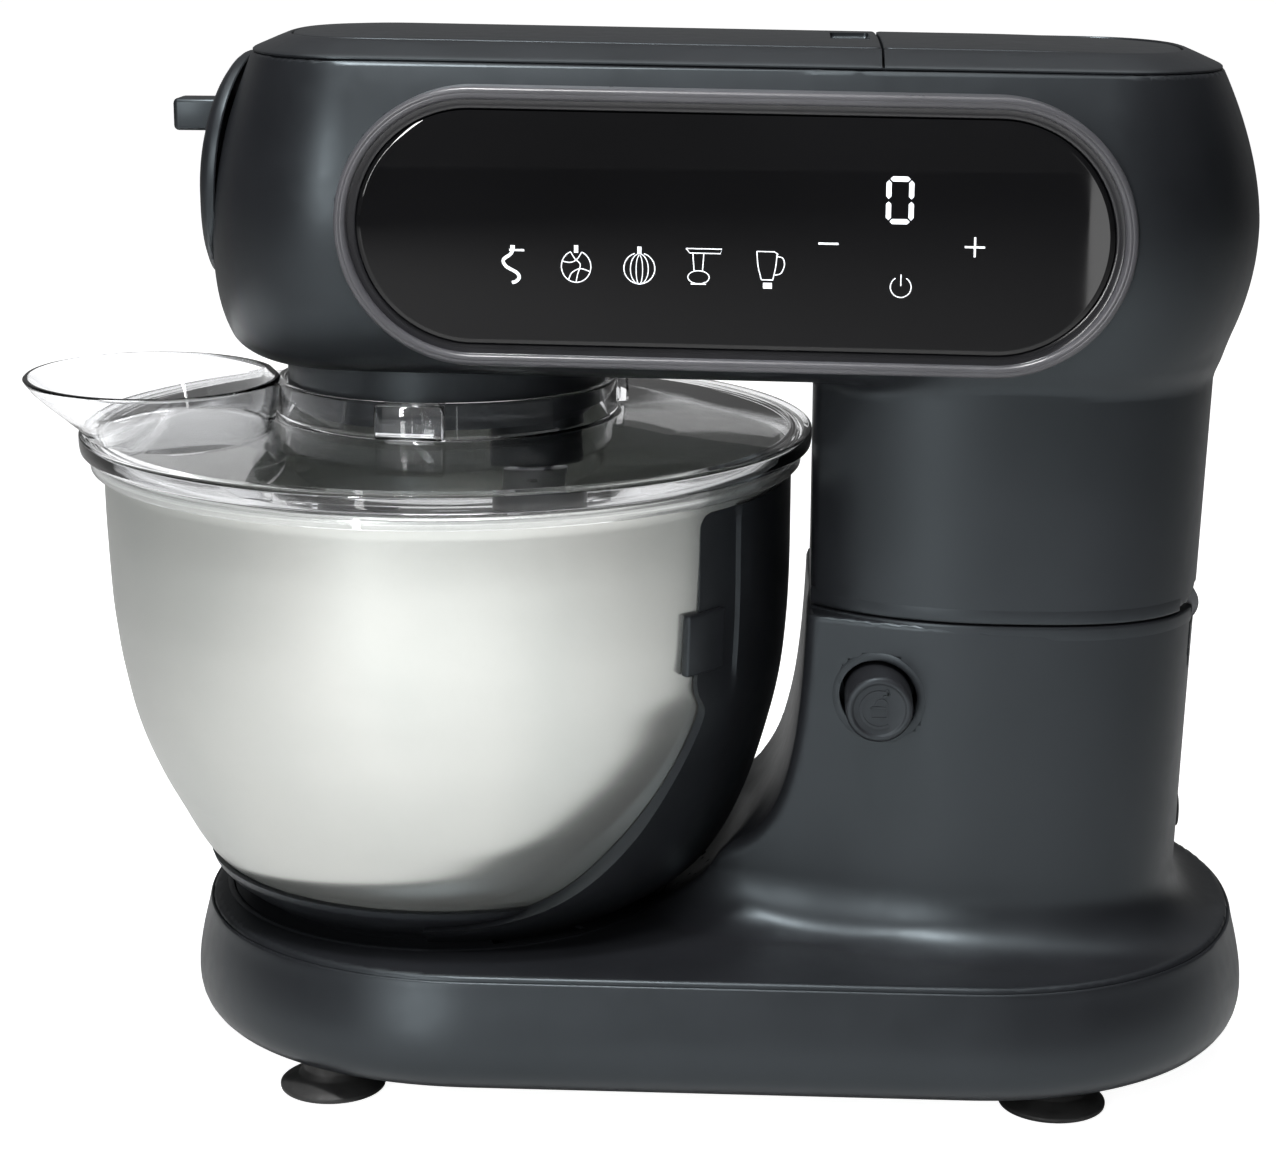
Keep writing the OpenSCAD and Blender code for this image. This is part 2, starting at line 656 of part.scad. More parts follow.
module main_gear() color([0.75, 0.73, 0.66]) at_bowl() difference() {
    translate([0, 0, gear_z]) gear(main_teeth, gear_m, gear_h);
    translate([0, 0, gear_z - 1]) cylinder(r = shaft_r, h = 20);
    for (i = [0:5]) rotate(60 * i) translate([25, 0, gear_z - 1]) cylinder(r = 9, h = 20);
}

module main_bevel() color([0.75, 0.73, 0.66]) at_bowl() difference() {
    union() {
        translate([0, 0, 256]) cylinder(r = 12, h = 5);
        translate([0, 0, outlet_z - bevel_r - 5])
            cylinder(r = 2 * bevel_r - 3.5, h = 5);
        translate([0, 0, outlet_z - bevel_r - bevel_drop])
            bevel(2 * bevel_teeth, 2 * bevel_r, bevel_h / 2, bevel_narrow, 0);
    }
    translate([0, 0, 250]) cylinder(r = shaft_r, h = 40);
}

module planet_carrier() color([0.12, 0.12, 0.13]) at_bowl() difference() {
    union() {
        translate([0, 0, 203]) cylinder(r = 47, h = 9);
        translate([0, 0, 203]) cylinder(r = 11, h = 19);
        translate([planet_off, 0, 179]) cylinder(r = 15, h = 25);
        translate([-planet_off, 0, 199]) cylinder(r = 13, h = 5);
    }
    translate([0, 0, 203]) cylinder(r = shaft_r, h = 40);
    translate([planet_off, 0, 170]) cylinder(r = 6 + run, h = 60);
}

module at_tool() translate([bowl_x + planet_off, 0, 0]) children();

module tool_shaft() color([0.72, 0.73, 0.75]) at_tool() difference() {
    translate([0, 0, 158]) cylinder(r = 6, h = 63.5);
    translate([0, 20, 165]) rotate([90, 0, 0]) cylinder(r = 2, h = 40);
}

module tool_pin() color([0.72, 0.73, 0.75]) at_tool() translate([0, 10, 165]) rotate([90, 0, 0])
    cylinder(r = 2, h = 20);

module planet_gear() color([0.75, 0.73, 0.66]) at_tool() difference() {
    translate([0, 0, 214.5]) gear(planet_teeth, planet_m, 7, 0);
    translate([0, 0, 210]) cylinder(r = 6, h = 20);
}

// The flat beater: a frame that follows the bowl's wall, with a rib down its middle
module beater_frame(r) offset(r) polygon([[0, 60], [36, 64], [54, 82], [64, 110], [67, 138],
    [14, 147], [-14, 147], [-67, 138], [-64, 110], [-54, 82], [-36, 64]]);

module flat_beater() color([0.78, 0.79, 0.8]) at_tool() difference() {
    union() {
        rotate([90, 0, 90]) translate([0, 0, -4]) linear_extrude(8) difference() {
            beater_frame(3);
            difference() {
                beater_frame(-6);
                translate([-4, 50]) square([8, 100]);
                translate([-70, 104]) square([140, 7]);
            }
        }
        translate([0, 0, 140]) cylinder(r = 10.5, h = 34);
    }
    translate([0, 0, 156]) cylinder(r = 6.1, h = 30);
    translate([0, 12, 165]) rotate([90, 0, 0]) cylinder(r = 2.1, h = 24);
}

module outlet_shaft() color([0.68, 0.69, 0.71]) translate([bowl_x, 0, outlet_z])
    rotate([0, -90, 0]) difference() {
        union() {
            translate([0, 0, 2 * bevel_r]) cylinder(r = 4, h = 52 - 2 * bevel_r);
            translate([0, 0, 2 * bevel_r]) rotate([180, 0, 0])
                bevel(bevel_teeth, bevel_r, bevel_h, bevel_narrow, 0);
            translate([0, 0, 48]) cylinder(r = 15, h = 18);
        }
        translate([-6, -6, 52]) cube([12, 12, 20]);
    }

module outlet_sleeve() color([0.12, 0.12, 0.13]) translate([0, 0, outlet_z]) rotate([0, 90, 0])
    ring(23.8, 19.5, -132.2, 29.2);

// ---------- covers and panel ----------

module cover(x0, x1, hw) hull() for (x = [x0 + 6, x1 - 6]) for (y = [-hw + 6, hw - 6])
    translate([x, y, cover_top_z - cover_t]) {
        cylinder(r = 6, h = cover_t - 1, $fn = 32);
        cylinder(r = 5, h = cover_t, $fn = 32);
    }

module top_cover() color([0.08, 0.08, 0.09]) {
    cover(deck_front_x + gap, deck_split_x - gap, deck_hw - gap);
    difference() {
        translate([deck_front_x + 6, -deck_hw + 6, cover_top_z - 7])
            cube([deck_split_x - deck_front_x - 12, 2 * deck_hw - 12, 7 - cover_t]);
        translate([deck_front_x + 9, -deck_hw + 9, cover_top_z - 9])
            cube([deck_split_x - deck_front_x - 18, 2 * deck_hw - 18, 9 - cover_t]);
    }
}

module blender_socket() color([0.1, 0.1, 0.11]) translate([motor_x, 0, 0]) {
    ring(38, 30, 290, 24);
    ring(38, 19, 287, 3);
}

module blender_cover() color([0.08, 0.08, 0.09]) {
    cover(deck_split_x + gap, deck_rear_x - gap, deck_hw - gap);
    translate([motor_x, 0, 0]) ring(29, 26, 312, cover_top_z - cover_t - 312);
}

module panel_bezel() color([0.09, 0.09, 0.1]) at_panel(panel_y + 15) difference() {
    stadium(panel_r, panel_half, 15);
    translate([0, 1, 0]) stadium(panel_r - 6.2, panel_half, 17);
}

module panel_glass() color([0.02, 0.02, 0.02]) at_panel(panel_y + 5)
    stadium(panel_r - 6.5, panel_half, 2.6);

module display_board() color([0.05, 0.25, 0.12]) at_panel(panel_y + 9) {
    translate([-60, -1.6, -22]) cube([130, 1.6, 44]);
    translate([22, -3.4, 4]) cube([14, 1.8, 14]);
}

module power_board() color([0.05, 0.25, 0.12]) {
    translate([20, 48, 232]) cube([60, 1.6, 50]);
    translate([28, 36, 240]) cube([18, 12, 24]);
    translate([54, 38, 240]) cube([12, 10, 12]);
}

// The pull-off cap leans back with the nose, and has a finger tab near its top
module outlet_cap() color([0.09, 0.09, 0.1]) translate([cap_x, 0, cap_z])
    rotate([0, cap_lean - 90, 0]) {
        translate([0, 0, -2.5]) cylinder(r = 14, h = 3);
        cylinder(r = cap_r, h = 2.4);
        translate([0, 0, 2.4]) cylinder(r1 = cap_r, r2 = cap_r - 7, h = 3.4);
        translate([13.5, -7, 2]) cube([9, 14, 14]);
    }

// ---------- splash lid and chute ----------

module lid_profile() rotate_extrude() polygon([
    [collar_r - 1, 201], [lid_r - 2, lid_top_z], [lid_r, lid_top_z - 1], [lid_r, lid_bottom_z],
    [lid_r - 2, lid_bottom_z], [lid_r - 2, lid_top_z - lid_t - 0.4],
    [collar_r - 1, 201 - lid_t]]);

module splash_lid() color([0.8, 0.85, 0.9, 0.4]) at_bowl() difference() {
    union() {
        lid_profile();
        ring(collar_r, collar_in_r, 199, collar_top_z - 199);
        for (a = [-95, 25, 145]) rotate(a) translate([collar_in_r + 1, -10.5, 199])
            cube([5.4, 21, 13.5]);
    }
    ring(collar_in_r + 1.5, collar_in_r - 2, 208.4, 2.8);
    translate([0, 0, 190]) cylinder(r = collar_in_r, h = 40);
    for (i = [0:2]) rotate(120 * i + 45)
        translate([collar_in_r - 1, -3.6, 208.4]) cube([2.5, 7.2, 10]);
    rotate(chute_az) oval(93, 190, 17.5, 29, 30);
}

module oval(u, z, ru, rv, h = 0.2) translate([u, 0, z]) scale([ru / rv, 1, 1])
    cylinder(r = rv, h = h, $fn = 48);

// The chute's flared wall, cut off along the lid's sloping top
module pouring_chute() color([0.8, 0.85, 0.9, 0.4]) at_bowl() rotate(chute_az) difference() {
    hull() {
        oval(chute_u, 215.8, 37.4, 45);
        oval(93, 197, 21, 32);
    }
    hull() {
        oval(chute_u, 216.2, 35.4, 43);
        oval(93, 196.6, 19, 30);
    }
    rotate_extrude() polygon([[0, 190], [150, 190], [150, lid_top_z], [lid_r - 2, lid_top_z],
                              [collar_r - 1, 201], [0, 201]]);
    translate([0, 0, 150]) cylinder(r = collar_r + 2, h = 100);
}

// ---------- bowl ----------

function bowl_curve(inset, z0) = [for (i = [0:bowl_steps])
    let (z = z0 + (162 - z0) * i / bowl_steps) [steel_r(z) - inset, z]];

module bowl() color([0.78, 0.79, 0.8]) at_bowl() {
    rotate_extrude() polygon(concat(
        [[0, bowl_floor_z]], bowl_curve(0, bowl_floor_z), [[bowl_r, bowl_top_z]],
        [[bowl_r - bowl_wall, bowl_top_z]],
        [for (i = [bowl_steps:-1:0]) bowl_curve(bowl_wall, bowl_floor_z + bowl_wall)[i]],
        [[0, bowl_floor_z + bowl_wall]]));
    translate([0, 0, bowl_top_z]) rotate_extrude() translate([bowl_r + 0.4, 0])
        circle(r = 1.8, $fn = 24);
}

module bowl_jacket() color([0.08, 0.08, 0.09]) at_bowl() intersection() {
    rotate_extrude() polygon(concat(
        [for (i = [0:jacket_steps]) let (z = 52 + 132 * i / jacket_steps) [jacket_r(z), z]],
        [for (i = [jacket_steps:-1:0]) let (z = 52 + 132 * i / jacket_steps)
            [steel_r(z) + 0.9, z]]));
    translate([0, -66, 40]) cube([120, 132, 160]);
}

module bowl_foot() color([0.08, 0.08, 0.09]) at_bowl() {
    ring(63, 56, 41, bowl_floor_z - 41.1);
    for (i = [0:lug_count - 1]) intersection() {
        ring(68.6, 60, lug_z, lug_h);
        sector(80, 360 * i / lug_count + 20, 360 * i / lug_count + 40, 30, 30);
    }
}

base_shell();
bottom_plate();
bottom_screws();
suction_feet();
foot_screws();
bowl_seat();
seat_screws();
hinge_pin();
cord_gland();
hinge_posts();
latch_guide();
latch_spring();
button_spring();
release_button();
latch_bolt();
head_shell();
tilt_plate();
plate_screws();
latch_hook();
hub_housing();
ring_gear();
hub_bearing();
gearbox_plate();
plate_bearings();
gearbox_screws();
motor_stator();
motor_brackets();
motor_bearings();
brush_holders();
motor_screws();
drive_belt();
outlet_sleeve();
top_cover();
blender_socket();
panel_bezel();
panel_glass();
display_board();
power_board();
planet_carrier();
main_shaft();
main_gear();
main_bevel();
planet_gear();
tool_shaft();
tool_pin();
flat_beater();
layshaft();
belt_pulley();
motor_armature();
motor_fan();
motor_pulley();
blender_coupling();
outlet_shaft();
outlet_cap();
blender_cover();
splash_lid();
pouring_chute();
bowl();
bowl_jacket();
bowl_foot();
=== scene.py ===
import json
import math

import bmesh
import bpy
import numpy as np
from mathutils import Matrix, Vector


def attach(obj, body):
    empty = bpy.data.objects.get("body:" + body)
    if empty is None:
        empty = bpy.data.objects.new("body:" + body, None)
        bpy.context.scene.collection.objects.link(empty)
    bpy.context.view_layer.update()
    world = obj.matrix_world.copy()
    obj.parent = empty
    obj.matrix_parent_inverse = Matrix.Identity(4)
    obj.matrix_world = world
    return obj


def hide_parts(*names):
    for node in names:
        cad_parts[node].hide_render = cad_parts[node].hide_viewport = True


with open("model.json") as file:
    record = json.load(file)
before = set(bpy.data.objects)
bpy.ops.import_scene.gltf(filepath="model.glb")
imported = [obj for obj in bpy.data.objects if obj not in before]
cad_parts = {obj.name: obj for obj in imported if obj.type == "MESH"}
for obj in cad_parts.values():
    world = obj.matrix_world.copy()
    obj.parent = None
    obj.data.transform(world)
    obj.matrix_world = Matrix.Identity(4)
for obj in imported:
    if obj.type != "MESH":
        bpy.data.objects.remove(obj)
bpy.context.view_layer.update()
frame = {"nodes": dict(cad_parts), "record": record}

# Lengths in this script are in millimetres, and turned into metres when a mesh is made.
MM = 0.001
BOWL_X = -65.0


# ---------- materials

def new_material(name, color, roughness, metallic=0.0, **sockets):
    mat = bpy.data.materials.new(name)
    mat.use_nodes = True
    sockets.update(Base_Color=(*color, 1.0), Roughness=roughness, Metallic=metallic)
    for key, value in sockets.items():
        bsdf_input(mat, key.replace("_", " ")).default_value = value
    return mat


def node(mat, kind, **values):
    made = mat.node_tree.nodes.new(kind)
    for key, value in values.items():
        if key.startswith("in_"):
            made.inputs[key[3:].replace("_", " ")].default_value = value
        else:
            setattr(made, key, value)
    return made


def link(mat, out, into):
    mat.node_tree.links.new(out, into)


def bsdf_input(mat, name):
    return mat.node_tree.nodes["Principled BSDF"].inputs[name]


def object_coords(mat, scale=(1, 1, 1)):
    coord = node(mat, "ShaderNodeTexCoord")
    mapping = node(mat, "ShaderNodeMapping")
    mapping.inputs["Scale"].default_value = scale
    link(mat, coord.outputs["Object"], mapping.inputs["Vector"])
    return mapping.outputs["Vector"]


def noise(mat, vector, scale, detail=2.0, rough=0.5):
    made = node(mat, "ShaderNodeTexNoise", in_Scale=scale, in_Detail=detail, in_Roughness=rough)
    link(mat, vector, made.inputs["Vector"])
    return made.outputs["Fac"]


def spread(mat, fac, low, high):
    """Stretches the middle of a noise to the range asked for."""
    made = node(mat, "ShaderNodeMapRange")
    for key, value in (("From Min", 0.3), ("From Max", 0.7), ("To Min", low), ("To Max", high)):
        made.inputs[key].default_value = value
    link(mat, fac, made.inputs["Value"])
    return made.outputs["Result"]


def tint(mat, fac, low, high):
    ramp = node(mat, "ShaderNodeValToRGB")
    for element, position, color in zip(ramp.color_ramp.elements, (0.35, 0.65), (low, high)):
        element.position = position
        element.color = (*color, 1)
    link(mat, fac, ramp.inputs["Fac"])
    return ramp.outputs["Color"]


def bump(mat, height, strength, distance):
    made = node(mat, "ShaderNodeBump", in_Strength=strength, in_Distance=distance)
    link(mat, height, made.inputs["Height"])
    link(mat, made.outputs["Normal"], bsdf_input(mat, "Normal"))


COOL_SHEEN = (0.8, 0.93, 1.0, 1.0)


def moulded(name, low, high, rough_low, rough_high, grain=2200, grain_strength=0.12, sheen=COOL_SHEEN):
    """Satin moulded plastic: a fine spark-eroded grain and slow changes of gloss and tone."""
    mat = new_material(name, low, rough_low, Specular_Tint=sheen)
    at = object_coords(mat)
    slow = noise(mat, at, 22, 3)
    link(mat, tint(mat, slow, low, high), bsdf_input(mat, "Base Color"))
    half = node(mat, "ShaderNodeMath", operation="MULTIPLY")
    link(mat, slow, half.inputs[0])
    mixed = node(mat, "ShaderNodeMath", operation="MULTIPLY_ADD")
    link(mat, noise(mat, at, 190, 3), mixed.inputs[0])
    link(mat, half.outputs[0], mixed.inputs[2])
    half.inputs[1].default_value = mixed.inputs[1].default_value = 0.5
    link(mat, spread(mat, mixed.outputs[0], rough_low, rough_high), bsdf_input(mat, "Roughness"))
    bump(mat, noise(mat, at, grain, 2), grain_strength, 0.00006)
    return mat


def turned(name, low, high, rough_low, rough_high):
    """Machined or drawn metal: fine lines one way, with uneven gloss."""
    mat = new_material(name, low, rough_low, 1.0)
    lines = noise(mat, object_coords(mat, (300, 300, 6000)), 1.0, 4, 0.6)
    link(mat, tint(mat, noise(mat, object_coords(mat), 40, 3), low, high), bsdf_input(mat, "Base Color"))
    link(mat, spread(mat, lines, rough_low, rough_high), bsdf_input(mat, "Roughness"))
    bump(mat, lines, 0.08, 0.00004)
    return mat


def cast(name, low, high, rough_low, rough_high, metallic, grain=900, strength=0.3):
    """Cast, plated or filled surfaces: an even speckle of tone, gloss and height."""
    mat = new_material(name, low, rough_low, metallic)
    at = object_coords(mat)
    link(mat, tint(mat, noise(mat, at, 120, 3), low, high), bsdf_input(mat, "Base Color"))
    link(mat, spread(mat, noise(mat, at, 300, 3), rough_low, rough_high), bsdf_input(mat, "Roughness"))
    bump(mat, noise(mat, at, grain, 3), strength, 0.0001)
    return mat


FINE_GRAIN = (900, 0.04, (1, 1, 1, 1))
STEEL_LOW, STEEL_HIGH = (0.51, 0.53, 0.508), (0.575, 0.585, 0.56)
MATS = {name: recipe(name, *values) for recipe, name, *values in (
    (moulded, "satin_black", (0.0085, 0.009, 0.0105), (0.0115, 0.012, 0.014), 0.34, 0.42),
    (moulded, "soft_black", (0.009, 0.009, 0.0105), (0.013, 0.013, 0.015), 0.42, 0.52),
    (moulded, "hub_black", (0.009, 0.009, 0.0105), (0.012, 0.012, 0.014), 0.36, 0.46),
    (moulded, "gloss_black", (0.010, 0.010, 0.012), (0.013, 0.013, 0.015), 0.16, 0.24, *FINE_GRAIN),
    (turned, "bright_steel", (0.5, 0.5, 0.51), (0.62, 0.62, 0.63), 0.18, 0.34),
    # zinc_steel is drawn nearly black rather than zinc grey: painted shade, so the hinge parts stay dark in
    # the gap at the column's seam.
    (cast, "zinc_steel", (0.09, 0.092, 0.098), (0.12, 0.123, 0.13), 0.36, 0.5, 1.0, 1600, 0.12),
    (cast, "cast_aluminium", (0.55, 0.56, 0.57), (0.64, 0.65, 0.66), 0.34, 0.5, 1.0),
    (turned, "copper_winding", (0.42, 0.16, 0.07), (0.55, 0.24, 0.1), 0.3, 0.45),
    (turned, "brass", (0.6, 0.42, 0.17), (0.72, 0.53, 0.25), 0.25, 0.4),
    (cast, "gear_nylon", (0.6, 0.57, 0.47), (0.7, 0.67, 0.57), 0.35, 0.5, 0.0, 500, 0.1),
    (cast, "circuit_board", (0.01, 0.08, 0.035), (0.015, 0.12, 0.05), 0.25, 0.45, 0.0, 700, 0.1),
    (cast, "rubber", (0.012, 0.012, 0.012), (0.02, 0.02, 0.02), 0.5, 0.66, 0.0, 1200, 0.25),
)}


def steel_material():
    """Satin-polished stainless steel, brushed round the bowl, so highlights draw out upright."""
    mat = new_material("polished_steel", STEEL_LOW, 0.2, 0.85, Anisotropic=0.75)
    radial = node(mat, "ShaderNodeTangent", direction_type="RADIAL", axis="Z")
    link(mat, radial.outputs[0], bsdf_input(mat, "Tangent"))
    lines = noise(mat, object_coords(mat, (6, 6, 9000)), 1.0, 5, 0.65)
    slow = noise(mat, object_coords(mat, (14, 14, 10)), 1.0, 2)
    link(mat, tint(mat, slow, STEEL_LOW, STEEL_HIGH), bsdf_input(mat, "Base Color"))
    link(mat, spread(mat, lines, 0.18, 0.25), bsdf_input(mat, "Roughness"))
    bump(mat, lines, 0.05, 0.00003)
    return mat


def glass_panel_material():
    """Black glass: a near-mirror with faint changes of gloss."""
    mat = new_material("panel_glass", (0.0025, 0.0025, 0.003), 0.03, 0.0, Coat_Weight=0.1,
                       Coat_Roughness=0.02, Specular_IOR_Level=0.35)
    at = object_coords(mat)
    link(mat, spread(mat, noise(mat, at, 60, 4), 0.01, 0.03), bsdf_input(mat, "Roughness"))
    link(mat, tint(mat, noise(mat, at, 9, 2), (0.002, 0.002, 0.0024), (0.0034, 0.0034, 0.004)),
         bsdf_input(mat, "Base Color"))
    return mat


def clear_material():
    """Clear moulded plastic with a slight waviness."""
    mat = new_material("clear_plastic", (0.985, 0.99, 1.0), 0.03, 0.0, Transmission_Weight=1.0, IOR=1.45)
    at = object_coords(mat)
    link(mat, spread(mat, noise(mat, at, 80, 3), 0.015, 0.05), bsdf_input(mat, "Roughness"))
    bump(mat, noise(mat, at, 35, 2), 0.12, 0.0004)
    return mat


def print_material():
    """The lit white print behind the glass."""
    mat = new_material("panel_print", (0.9, 0.92, 0.95), 0.4, 0.0)
    bsdf_input(mat, "Emission Color").default_value = (0.9, 0.95, 1.0, 1)
    bsdf_input(mat, "Emission Strength").default_value = 0.42
    link(mat, spread(mat, noise(mat, object_coords(mat), 400, 2), 0.3, 0.5), bsdf_input(mat, "Roughness"))
    return mat


MATS.update(polished_steel=steel_material(), panel_glass=glass_panel_material(),
            clear_plastic=clear_material())
PRINT = print_material()
# The panel's ridge ring is black bezel plastic drawn lighter grey: a painted highlight along the ridge.
RIDGE_PAINTED_HIGHLIGHT = moulded("ridge_painted_highlight", (0.06, 0.06, 0.066), (0.075, 0.075, 0.083), 0.26, 0.34, *FINE_GRAIN)

# The CAD nodes that stay on show take the material of their slot
SLOT_OF = {part["node"]: part["material_slot"] for part in frame["record"]["subparts"]}
for name, obj in frame["nodes"].items():
    obj.data.materials.clear()
    obj.data.materials.append(MATS[SLOT_OF[name]])


# ---------- mesh helpers

def piece(name, verts, faces, body, slot, nodes=(), material=None, normals=None, smooth=True):
    """A mesh from points in millimetres, riding on a body and standing for CAD nodes."""
    mesh = bpy.data.meshes.new(name)
    mesh.from_pydata((np.asarray(verts, dtype=float) * MM).tolist(), [], [list(map(int, f)) for f in faces])
    mesh.validate()
    mesh.update()
    obj = bpy.data.objects.new(name, mesh)
    bpy.context.scene.collection.objects.link(obj)
    mesh.materials.append(material or MATS[slot])
    if smooth:
        mesh.polygons.foreach_set("use_smooth", [True] * len(mesh.polygons))
    if normals is not None and len(mesh.vertices) == len(verts):
        mesh.normals_split_custom_set_from_vertices(np.asarray(normals).tolist())
    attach(obj, body)
    if nodes:
        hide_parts(*nodes)
    return obj


def sharpen(obj, degrees=32):
    """Smooth shading that breaks at corners sharper than this."""
    bpy.context.view_layer.objects.active = obj
    obj.select_set(True)
    bpy.ops.object.shade_smooth_by_angle(angle=math.radians(degrees))
    obj.select_set(False)
    return obj


def make(name, mesh, body, slot, nodes, degrees, material=None):
    """A piece from (verts, faces), with its corners kept."""
    return sharpen(piece(name, *mesh, body, slot, nodes, material), degrees)


def merged(*parts):
    """Several (verts, faces) as one."""
    verts, faces, base = [], [], 0
    for v, f in parts:
        verts.append(np.asarray(v, dtype=float))
        faces += [[i + base for i in face] for face in f]
        base += len(v)
    return np.concatenate(verts), faces


def rings(loops, cap_first=False, cap_last=False, closed=False):
    """Skins a stack of loops that have the same number of points."""
    count = len(loops[0])
    verts = np.concatenate([np.asarray(p, dtype=float) for p in loops])
    faces = []
    rows = len(loops)
    for i in range(rows if closed else rows - 1):
        a, b = i * count, ((i + 1) % rows) * count
        for j in range(count):
            k = (j + 1) % count
            faces.append([a + j, a + k, b + k, b + j])
    if cap_first:
        faces.append(list(range(count))[::-1])
    if cap_last:
        faces.append([(rows - 1) * count + j for j in range(count)])
    return verts, faces


def lathe(profile, segments=160, center=(0.0, 0.0), closed=True):
    """A profile of (radius, z) points turned about an upright axis. It runs upwards on the outside."""
    turn = np.linspace(0, 2 * np.pi, segments, endpoint=False)
    circle = np.column_stack([np.cos(turn), np.sin(turn)])
    return rings([at_height(r * circle + center, z) for r, z in profile], closed=closed)


def rounded(points, radius, steps=5):
    """Rounds each corner of an open profile of (a, b) points."""
    pts = [np.asarray(p, dtype=float) for p in points]
    out = [pts[0]]
    for i in range(1, len(pts) - 1):
        a, b = pts[i - 1] - pts[i], pts[i + 1] - pts[i]
        la, lb = np.linalg.norm(a), np.linalg.norm(b)
        reach = min(radius, la * 0.49, lb * 0.49)
        p0, p1 = pts[i] + a / la * reach, pts[i] + b / lb * reach
        for t in np.linspace(0, 1, steps):
            out.append((1 - t) ** 2 * p0 + 2 * t * (1 - t) * pts[i] + t * t * p1)
    out.append(pts[-1])
    return out


def turned_about(profile, origin, axis, segments=96, closed=False):
    """A (radius, along) profile turned about an axis that isn't upright."""
    v, f = lathe(profile, segments, closed=closed)
    rot = Vector((0, 0, 1)).rotation_difference(Vector(axis)).to_matrix()
    return v @ np.array(rot).T + np.array(origin), f


def round_edges(bm, radius, segments):
    bmesh.ops.bevel(bm, geom=bm.edges[:], offset=radius * MM, segments=segments, affect="EDGES", profile=0.5)


def bmesh_box(low, high, bevel=0.0, segments=4):
    """A box between two corners, in metres, with its edges rounded."""
    bm = bmesh.new()
    low, high = np.array(low) * MM, np.array(high) * MM
    bmesh.ops.create_cube(bm, size=1.0)
    bmesh.ops.scale(bm, vec=Vector(high - low), verts=bm.verts)
    bmesh.ops.translate(bm, vec=Vector((high + low) / 2), verts=bm.verts)
    if bevel:
        round_edges(bm, bevel, segments)
    return bm


def taken_out(bm):
    """The points, in millimetres, and faces of a bmesh that isn't needed any more."""
    verts = np.array([v.co[:] for v in bm.verts]) / MM
    faces = [[v.index for v in f.verts] for f in bm.faces]
    bm.free()
    return verts, faces


def block(name, low, high, bevel, body, slot, nodes=(), matrix=None, segments=4):
    bm = bmesh_box(low, high, bevel, segments)
    if matrix is not None:
        bm.transform(matrix)
    return make(name, taken_out(bm), body, slot, nodes, 40)


def box_cutter(low, high, bevel=0.0):
    bm = bmesh_box(low, high, bevel)
    mesh = bpy.data.meshes.new("cutter")
    bm.to_mesh(mesh)
    bm.free()
    obj = bpy.data.objects.new("cutter", mesh)
    bpy.context.scene.collection.objects.link(obj)
    return obj


def cut(obj, *cutters):
    """Takes the cutters' shapes out of a piece, and removes the cutters."""
    for cutter in cutters:
        mod = obj.modifiers.new("cut", "BOOLEAN")
        mod.operation = "DIFFERENCE"
        mod.solver = "EXACT"
        mod.object = cutter
        bpy.context.view_layer.objects.active = obj
        bpy.ops.object.modifier_apply(modifier=mod.name)
        bpy.data.objects.remove(cutter)
    return obj


def raised(strokes, height, place):
    """Lines that stand up from a face: place turns (across, up, out) points into the frame."""
    out = []
    for points, width in strokes:
        v, f = ribbon(points, width)
        n, half = len(v), len(v) // 2
        faces = [[i + n for i in face] for face in f] + [face[::-1] for face in f]
        rim = list(range(half)) + [n - 1 - i for i in range(half)]
        faces += [[rim[i], rim[(i + 1) % n], rim[(i + 1) % n] + n, rim[i] + n] for i in range(n)]
        out.append((place(np.vstack([at_height(v, -0.3), at_height(v, height)])), faces))
    return merged(*out)


# ---------- outlines and lines

def respaced(loop, count):
    closed = np.vstack([loop, loop[:1]])
    run = np.concatenate([[0], np.cumsum(np.linalg.norm(np.diff(closed, axis=0), axis=1))])
    at = np.linspace(0, run[-1], count, endpoint=False)
    return np.column_stack([np.interp(at, run, closed[:, k]) for k in range(loop.shape[1])])


def superellipse(t, front, rear, hw):
    """Points of an outline whose front and rear ends are each (middle, length, power)."""
    c, s = np.cos(t), np.sin(t)
    mid, a, n = (np.where(c > 0, r, f) for f, r in zip(front, rear))
    x = mid + a * np.sign(c) * np.abs(c) ** (2 / n)
    y = hw * np.sign(s) * np.abs(s) ** (2 / n)
    return x, y


def outline(x0, x1, a0, a1, hw, n, count=200):
    """Points round an outline with straight sides and superellipse ends, evenly spaced."""
    t = np.linspace(0, 2 * np.pi, 2401)[:-1] + 0.001
    return respaced(np.column_stack(superellipse(t, (x0, a0, n), (x1, a1, n), hw)), count)


def at_height(loop, z):
    return np.column_stack([loop, np.full(len(loop), z)])


def stadium(radius, half, count=220):
    """Points round a slot's outline, (across, up), from its right-hand side."""
    arc = np.linspace(-math.pi / 2, math.pi / 2, count // 2 - 8)
    right = np.column_stack([half + radius * np.cos(arc), radius * np.sin(arc)])
    top = np.column_stack([np.linspace(half, -half, 10)[1:-1], np.full(8, radius)])
    return np.vstack([right, top, -right, -top])


def side_of(before, after):
    """The unit vectors to the left of the way from one set of points to the next."""
    way = after - before
    way /= np.maximum(np.linalg.norm(way, axis=1), 1e-9)[:, None]
    return np.column_stack([-way[:, 1], way[:, 0]])


def ribbon(points, width):
    """A flat line of even width through (across, up) points."""
    p = np.asarray(points, dtype=float)
    side = side_of(np.vstack([p[:1], p[:-1]]), np.vstack([p[1:], p[-1:]])) * width / 2
    n = len(p)
    return np.vstack([p + side, p - side]), [[i, i + 1, n + i + 1, n + i] for i in range(n - 1)]


def arc(cx, cy, rx, ry, a0, a1, count=24):
    t = np.radians(np.linspace(a0, a1, count))
    return np.column_stack([cx + rx * np.cos(t), cy + ry * np.sin(t)])


